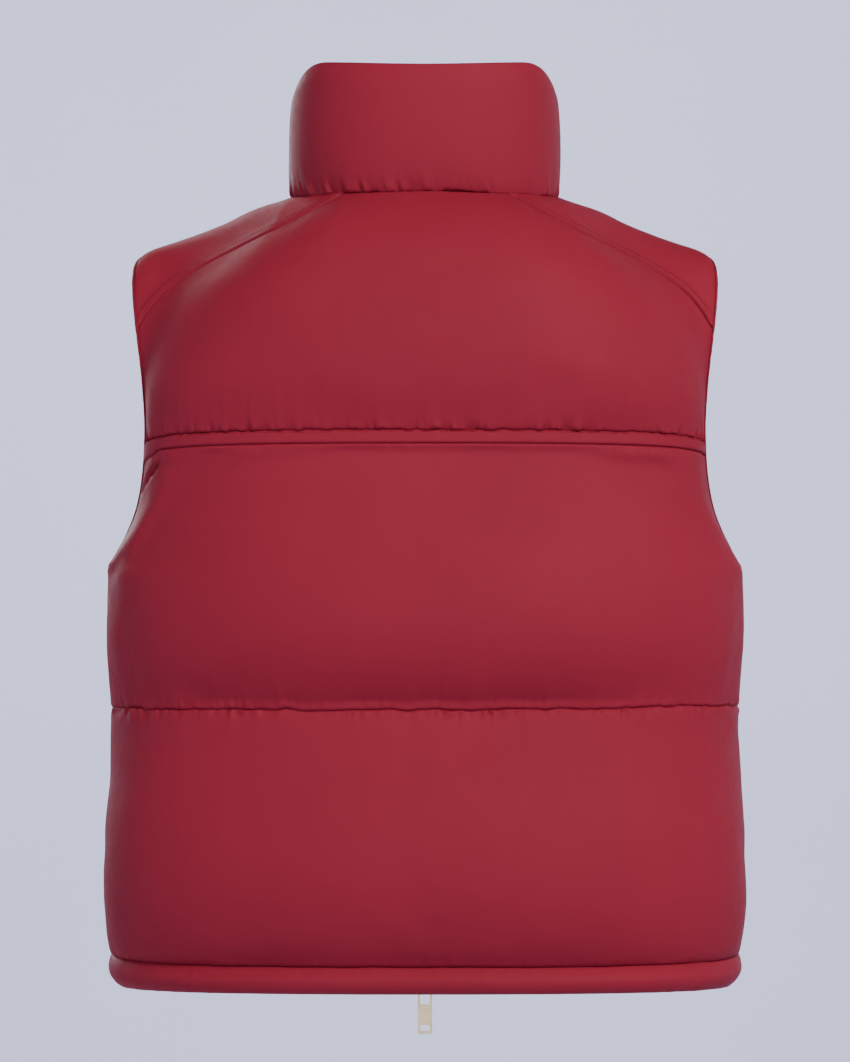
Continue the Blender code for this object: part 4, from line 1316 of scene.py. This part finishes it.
def collar_patch():
    half = evenly(neck_line(160), 0.0015)
    foot = np.concatenate([half[:0:-1] * (-1, 1, 1), half])
    forward = np.maximum(0, -foot[:, 1] / NECK_FRONT)
    head = foot.copy()
    sideways = abs(foot[:, 0]) / NECK_HALF_WIDTH
    lift = 0.006 * sideways**2 * (1 - forward) - 0.018 * np.clip((sideways - 0.72) / 0.28, 0, 1) ** 3
    head[:, 2] = mix(COLLAR_BACK_TOP, COLLAR_FRONT_TOP, forward) + lift
    free = (abs(foot[:, 0]) > FRONT_EDGE * 1.5) | (foot[:, 1] > 0)
    blend = np.where(foot[:, 1] > 0, 1, np.clip((abs(foot[:, 0]) - FRONT_EDGE) / 0.02, 0, 1)) * free
    head[:, 0] *= mix(1, COLLAR_TAPER, blend)
    head[:, 1] *= mix(1, COLLAR_LEAN, blend)
    rows = spaced(0.10)
    start = foot + (0, 0, SEAM_GAP)
    points = mix(start[:, None, :], head[:, None, :], rows[None, :, None])
    along = np.gradient(foot[:, :2], axis=0)
    flat = unit(np.stack([-along[:, 1], along[:, 0], np.zeros(len(foot))], -1))
    normals = np.broadcast_to(flat[:, None, :], points.shape).copy()
    return Patch(points, normals)


class VEST_OT_collar(bpy.types.Operator):
    """Make the stand-up collar"""

    bl_idname = "vest.collar"
    bl_label = "Collar"

    def execute(self, context):
        shape = shape_settings()
        patch = collar_patch()
        spots = spots_of(patch)
        full = collar_fullness(spots)
        outer = patch.points + patch.normals * (shape.collar_loft * full)[..., None]
        hang = 0.0016 + 0.0013 * ripple(spots.left, 0.012, 178) + 0.0009 * ripple(spots.left, 0.0045, 179)
        outer[..., 2] -= hang * np.exp(-spots.low / 0.004)
        stand = tucked(spots, ("low",))
        ease = np.minimum(1, np.minimum(spots.low, spots.high) / 0.015)
        stand = stand + 0.0007 * ease * billow(spots.left, spots.low, 0.06, 171)
        for gather in (
            Gather("low", 0.0020, 0.0036, 0.009, 173),
            Gather("left", 0.0006, 0.005, 0.012, 175),
            Gather("right", 0.0006, 0.005, 0.012, 176),
        ):
            stand = stand + gathered(spots, gather) * shape.gather_strength
        outer = outer + patch.normals * stand[..., None]
        inner = drawn_in(patch.points, SEAM_GAP / 2)
        inside = WALL + shape.collar_lining * full + 0.0008 * ease * billow(spots.left, spots.low, 0.03, 177)
        inner = inner - patch.normals * inside[..., None]
        lip = eased((spots.along - 0.9) / 0.1)[..., None]
        middle = (outer + inner) / 2
        outer = mix(outer, mix(outer, middle, 0.12), lip)
        piece = quilted("collar_cloth", outer, inner, [cloth("shell"), cloth("lining")])
        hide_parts("collar")
        return {"FINISHED"}


def armhole_line():
    """Points and normals round the left armhole: up the back edge, over the shoulder, down the front."""
    rises = np.linspace(0, 1, 90)
    halves = []
    for side, seam in ((BACK, BAND_TOP), (FRONT, FRONT_CHEST_SEAM)):
        heights = mix(UNDERARM, seam - BAND_DROOP, np.linspace(0, 1, 60) ** 1.7)
        low = patch_at(partial(section_point, side), np.ones(len(heights)), heights)
        high = patch_at(partial(shoulder_point, side), np.ones(len(rises)), rises)
        halves.append([np.concatenate([below, above[1:]]) for below, above in zip(low, high)])
    points, normals = (np.concatenate([up, down[::-1][1:]]) for up, down in zip(*halves))
    return evened(points, normals, 0.0018)


class VEST_OT_bindings(bpy.types.Operator):
    """Make the narrow bindings round the armholes"""

    bl_idname = "vest.bindings"
    bl_label = "Armhole Bindings"

    def execute(self, context):
        line, normals = armhole_line()
        onward = unit(np.gradient(line, axis=0))
        outward = unit(np.cross(normals, onward))
        rows = np.linspace(0, 1, 9)
        height = mix(-WALL - BINDING_PROUD, BINDING_PROUD, rows)
        belly = 0.35 + 0.65 * np.sqrt(np.maximum(0, 1 - (2 * rows - 1) ** 2))
        run = runs(line, 0)
        pulled = 0.00018 * ripple(run, 0.0035, 181)
        base = line[:, None, :] + normals[:, None, :] * height[None, :, None]
        near = base - outward[:, None, :] * SEAM_GAP
        reach = BINDING_THICKNESS * belly[None, :] + pulled[:, None]
        far = base + outward[:, None, :] * reach[..., None]
        for layer in (near, far):
            layer[0, :, 1] = np.maximum(layer[0, :, 1], SEAM_GAP)
            layer[-1, :, 1] = np.minimum(layer[-1, :, 1], -SEAM_GAP)
        for hand, flip in (("left", (1, 1, 1)), ("right", (-1, 1, 1))):
            name = f"armhole_binding_{hand}"
            piece = quilted(f"{name}_cloth", far * flip, near * flip, [cloth("binding")])
            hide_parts(name)
        return {"FINISHED"}


def zip_line():
    """Points and normals up the front edge, from the hem's bottom to the collar's top."""
    heights = np.linspace(HEM_BOTTOM - FRONT_HEM_DIP, FRONT_CHEST_SEAM, 160)
    low = patch_at(front_surface(section_point), np.zeros(len(heights)), heights)
    rises = np.linspace(0, float(neck_rise(FRONT, EDGE_PROBE)), 80)
    high = patch_at(front_surface(shoulder_point), np.zeros(len(rises)), rises)
    neck = high.points[-1]
    collar = np.linspace(neck, (neck[0], neck[1], COLLAR_FRONT_TOP), 60)[1:]
    collar_normals = np.broadcast_to((0.0, -1.0, 0.0), collar.shape)
    points = np.concatenate([low.points, high.points[1:], collar])
    normals = np.concatenate([low.normals, high.normals[1:], collar_normals])
    normals[:, 0] = 0
    return evened(points, normals, 0.002)


def at_heights(line, normals, heights):
    """Points and normals of the zip's line at these heights."""
    keys = line[:, 2]
    return read_line(line, keys, heights), unit(read_line(normals, keys, heights))


class VEST_OT_zip(bpy.types.Operator):
    """Make the zip's tapes and its closed teeth"""

    bl_idname = "vest.zip"
    bl_label = "Zip"

    def execute(self, context):
        line, normals = zip_line()
        rows = np.linspace(0, 1, 7)
        for hand, flip in (("left", 1), ("right", -1)):
            across = mix(TAPE_INNER, FRONT_EDGE - 0.00015, rows)
            front = line[:, None, :] - normals[:, None, :] * TAPE_RECESS
            back = line[:, None, :] - normals[:, None, :] * (TAPE_RECESS + TAPE_THICKNESS)
            outer = np.repeat(front, len(rows), axis=1)
            inner = np.repeat(back, len(rows), axis=1)
            outer[..., 0] = across * flip
            inner[..., 0] = across * flip
            ridge = 0.00025 * np.exp(-(((rows - 0.35) / 0.12) ** 2))
            outer = outer + normals[:, None, :] * ridge[None, :, None]
            name = f"zip_tape_{hand}"
            piece = quilted(f"{name}_cloth", outer, inner, [cloth("tape")])
            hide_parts(name)
        self.teeth(line, normals)
        return {"FINISHED"}

    def teeth(self, line, normals):
        """Teeth of both sides in turn, each a bevelled block with a narrower head over the middle."""
        pitch = shape_settings().tooth_pitch
        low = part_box("zip_chain")[0][2] + pitch / 2
        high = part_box("zip_chain")[1][2] - pitch / 2
        tooth = bmesh.new()
        size = Matrix.Diagonal((TOOTH_REACH, TOOTH_THICKNESS, pitch * TOOTH_FILL, 1))
        bmesh.ops.create_cube(tooth, size=1, matrix=size)
        head = [vertex for vertex in tooth.verts if vertex.co.x < 0]
        bmesh.ops.scale(tooth, vec=(1, 0.72, 0.7), verts=head)
        bmesh.ops.bevel(
            tooth, geom=tooth.edges[:], offset=0.0002, segments=1, profile=0.5, affect="EDGES", material=-1
        )
        template = finished(tooth, "tooth")
        chain = bmesh.new()
        heights = np.arange(low, high, pitch / 2)
        points, facing = at_heights(line, normals, heights)
        for index, (point, normal) in enumerate(zip(points, facing)):
            hand = 1 if index % 2 else -1
            before = len(chain.verts)
            chain.from_mesh(template)
            chain.verts.ensure_lookup_table()
            own = chain.verts[before:]
            lean = Matrix.Rotation(math.atan2(normal[2], -normal[1]) * -1, 4, "X")
            flip = Matrix.Diagonal((hand, 1, 1, 1))
            middle = Vector(point) - Vector(normal) * CHAIN_MIDDLE
            place = Matrix.Translation((hand * TOOTH_OFFSET, middle.y, middle.z))
            bmesh.ops.transform(chain, matrix=place @ lean @ flip, verts=own)
        bmesh.ops.recalc_face_normals(chain, faces=chain.faces[:])
        data = finished(chain, "zip_teeth")
        bpy.data.meshes.remove(template)
        piece = place_piece("zip_teeth", data, [bpy.data.materials["vest_teeth"]])
        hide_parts("zip_chain")


class VEST_OT_metalwork(bpy.types.Operator):
    """Plate the sliders, the pulls and the teeth"""

    bl_idname = "vest.metalwork"
    bl_label = "Metalwork"

    def execute(self, context):
        colour = tuple(colour_settings().metal)
        metal("vest_teeth", colour, 0.34)
        plated = metal("vest_plating", colour, 0.42)
        for name in ("slider_lower", "slider_upper", "pull_lower", "pull_upper"):
            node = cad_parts[name]
            for place in node.material_slots:
                place.material = plated
            if not node.material_slots:
                node.data.materials.append(plated)
        return {"FINISHED"}


STITCH_SPACING = 1.3  # in stitch lengths
STITCH_HALF_WIDTH = 0.00026
STITCH_HALF_HEIGHT = 0.00022


def stitched(name, lines):
    """Threads along lines of (points, normals): each stitch a small oval lying half in the cloth."""
    length = shape_settings().stitch
    mesh = bmesh.new()
    for line, normals in lines:
        reached = runs(line, 0)
        places = np.arange(length, reached[-1] - length, length * STITCH_SPACING)
        points = read_line(line, reached, places)
        ahead = read_line(line, reached, places + length / 2)
        facing = unit(read_line(normals, reached, places))
        for point, towards, normal in zip(points, ahead, facing):
            along = Vector(towards - point).normalized()
            up = Vector(normal)
            side = up.cross(along).normalized()
            up = along.cross(side)
            turn = Matrix((along, side, up)).transposed().to_4x4()
            size = Matrix.Diagonal((length / 2, STITCH_HALF_WIDTH, STITCH_HALF_HEIGHT, 1))
            place = Matrix.Translation(Vector(point))
            bmesh.ops.create_uvsphere(mesh, u_segments=6, v_segments=4, radius=1, matrix=place @ turn @ size)
    bmesh.ops.recalc_face_normals(mesh, faces=mesh.faces[:])
    data = finished(mesh, name)
    data.uv_layers.new(name="Cloth")
    data.shade_smooth()
    piece = place_piece(name, data, [cloth("thread")])


def lifted(line, height):
    return line.points + line.normals * height, line.normals


class VEST_OT_topstitching(bpy.types.Operator):
    """Sew the threads beside the band and the yoke strips"""

    bl_idname = "vest.topstitching"
    bl_label = "Topstitching"

    def execute(self, context):
        shares = np.linspace(-0.985, 0.985, 400)
        band = patch_at(partial(section_point, BACK), shares, chest_height(BACK, shares) - 0.0014)
        stitched("band_stitches", [lifted(band, 0.0009)])

        out = np.linspace(YOKE_START[BACK] + 0.03, 0.985, 160)
        lines = []
        for part in (0.16, 0.86):
            rise = mix(yoke_rise(BACK, out), strip_rise(out), part)
            left = patch_at(partial(shoulder_point, BACK), out, rise)
            lines += [lifted(left, 0.0007), lifted(mirrored(left), 0.0007)]
        stitched("yoke_stitches", lines)
        return {"FINISHED"}


STAGE_RADIUS = 7.0
STAGE_BEND = 2.2
STAGE_TOP = 4.5
FLOOR_DROP = 2.2
CAMERA_PLACE = (0, 4.2, -0.345)
CAMERA_TILT = 91.16  # degrees
CAMERA_LENS = 182.5
SUNNY = (1.0, 0.985, 0.965)
SKY = (0.94, 0.97, 1.0)
WARM = (1.0, 0.98, 0.95)
WALL_LIGHT = (0.93, 0.96, 1.0)


class VEST_OT_stage(bpy.types.Operator):
    """Make the floor with its curved backdrop, the lights and the camera"""

    bl_idname = "vest.stage"
    bl_label = "Stage"

    def execute(self, context):
        scene = context.scene
        floor_height = CAD_BOX[0][2] - FLOOR_DROP
        bowl = bmesh.new()
        flat = STAGE_RADIUS - STAGE_BEND
        profile = [Vector((0.0, 0, floor_height)), Vector((flat, 0, floor_height))]
        for step in range(1, 13):
            angle = math.pi / 2 * step / 12
            rise = STAGE_BEND - STAGE_BEND * math.cos(angle)
            profile.append(Vector((flat + STAGE_BEND * math.sin(angle), 0, floor_height + rise)))
        profile.append(Vector((STAGE_RADIUS, 0, STAGE_TOP)))
        verts = [bowl.verts.new(point) for point in profile]
        edges = [bowl.edges.new(pair) for pair in zip(verts, verts[1:])]
        bmesh.ops.spin(
            bowl,
            geom=verts + edges,
            cent=(0, 0, 0),
            axis=(0, 0, 1),
            angle=math.tau,
            steps=96,
            use_merge=True,
            use_duplicate=False,
        )
        bmesh.ops.remove_doubles(bowl, verts=bowl.verts[:], dist=1e-4)
        bmesh.ops.recalc_face_normals(bowl, faces=bowl.faces[:])
        data = finished(bowl, "stage")
        if data.polygons[0].normal.z < 0:
            data.flip_normals()
        data.shade_smooth()
        stage = bpy.data.objects.new("stage", data)
        data.materials.append(self.paint())
        scene.collection.objects.link(stage)
        self.lights(scene)
        self.camera(scene)
        return {"FINISHED"}

    def paint(self):
        """Matt paint with a faint cloudy unevenness."""
        material, tree, shader = blank_material("stage_paint")
        place = add_node(tree, "ShaderNodeTexCoord").outputs["Object"]
        drift = group(tree, mottle(), place, Drift=1.1, Crinkles=30.0)
        colour = tuple(colour_settings().stage)
        cloudy = tones(tree, drift.outputs["Tone"], shaded(colour, 0.975), shaded(colour, 1.025))
        tree.links.new(cloudy, shader.inputs["Base Color"])
        bumped(tree, shader, drift.outputs["Crinkle"], 0.002, strength=0.15)
        shader.inputs["Roughness"].default_value = 0.95
        return material

    def lights(self, scene):
        chest = (0, 0, -0.3)
        hem = (0, 0, -0.6)
        lights = [
            ("key", (-1.9, 3.3, 2.4), chest, 1.7, 255, SUNNY),
            ("fill", (2.8, 3.0, 0.9), chest, 2.6, 34, SKY),
            ("front_key", (1.9, -3.7, 1.2), chest, 2.4, 130, SUNNY),
            ("front_fill", (-2.8, -3.0, 0.7), chest, 2.6, 16, SKY),
            ("catch", (0, 4.5, -0.95), hem, 0.5, 15, WARM),
            ("front_catch", (0, -4.5, -0.95), hem, 0.5, 5, WARM),
        ]
        for index, (x, y) in enumerate(((0, -1), (0, 1), (-1, 0), (1, 0)), start=1):
            target = (x * STAGE_RADIUS, y * STAGE_RADIUS, -0.3)
            lights.append((f"wall_{index}", (x * 2.2, y * 2.2, 2.0), target, 3.0, 85, WALL_LIGHT))
        for name, place, target, size, power, colour in lights:
            data = bpy.data.lights.new(name, "AREA")
            data.size = size
            data.energy = power
            data.color = colour
            data.spread = math.radians(90 if name.startswith("wall") else 180)
            light = bpy.data.objects.new(name, data)
            light.location = place
            aim = Vector(target) - Vector(place)
            light.rotation_euler = aim.to_track_quat("-Z", "Y").to_euler()
            scene.collection.objects.link(light)
        world = bpy.data.worlds.new("studio")
        world.use_nodes = True
        background = world.node_tree.nodes["Background"]
        background.inputs["Color"].default_value = (0.90, 0.95, 1.0, 1)
        background.inputs["Strength"].default_value = 0.12
        scene.world = world

    def camera(self, scene):
        data = bpy.data.cameras.new("camera")
        data.sensor_width = 36
        data.lens = CAMERA_LENS
        data.clip_end = 60
        camera = bpy.data.objects.new("camera", data)
        camera.location = CAMERA_PLACE
        camera.rotation_euler = (math.radians(CAMERA_TILT), 0, math.pi)
        scene.collection.objects.link(camera)
        scene.camera = camera


OPERATORS = (
    VEST_OT_stage,
    VEST_OT_metalwork,
    VEST_OT_back,
    VEST_OT_band,
    VEST_OT_fronts,
    VEST_OT_hem,
    VEST_OT_yokes,
    VEST_OT_collar,
    VEST_OT_bindings,
    VEST_OT_zip,
    VEST_OT_topstitching,
)


class VEST_PT_sidebar(bpy.types.Panel):
    """Sizes, colours and the steps that build the vest"""

    bl_idname = "VEST_PT_sidebar"
    bl_label = "Padded Vest"
    bl_space_type = "VIEW_3D"
    bl_region_type = "UI"
    bl_category = "Vest"

    def draw(self, context):
        for settings in (context.scene.vest_shape, context.scene.vest_colours):
            for name in settings.__annotations__:
                self.layout.prop(settings, name)
        for operator in OPERATORS:
            self.layout.operator(operator.bl_idname)


CLASSES = (VestShape, VestColours) + OPERATORS + (VEST_PT_sidebar,)


def register():
    for made in CLASSES:
        bpy.utils.register_class(made)
    bpy.types.Scene.vest_shape = PointerProperty(type=VestShape)
    bpy.types.Scene.vest_colours = PointerProperty(type=VestColours)


def unregister():
    del bpy.types.Scene.vest_colours
    del bpy.types.Scene.vest_shape
    for made in reversed(CLASSES):
        bpy.utils.unregister_class(made)


def main():
    register()
    for operator in OPERATORS:
        family, step = operator.bl_idname.split(".")
        getattr(getattr(bpy.ops, family), step)()


if __name__ == "__main__":
    main()
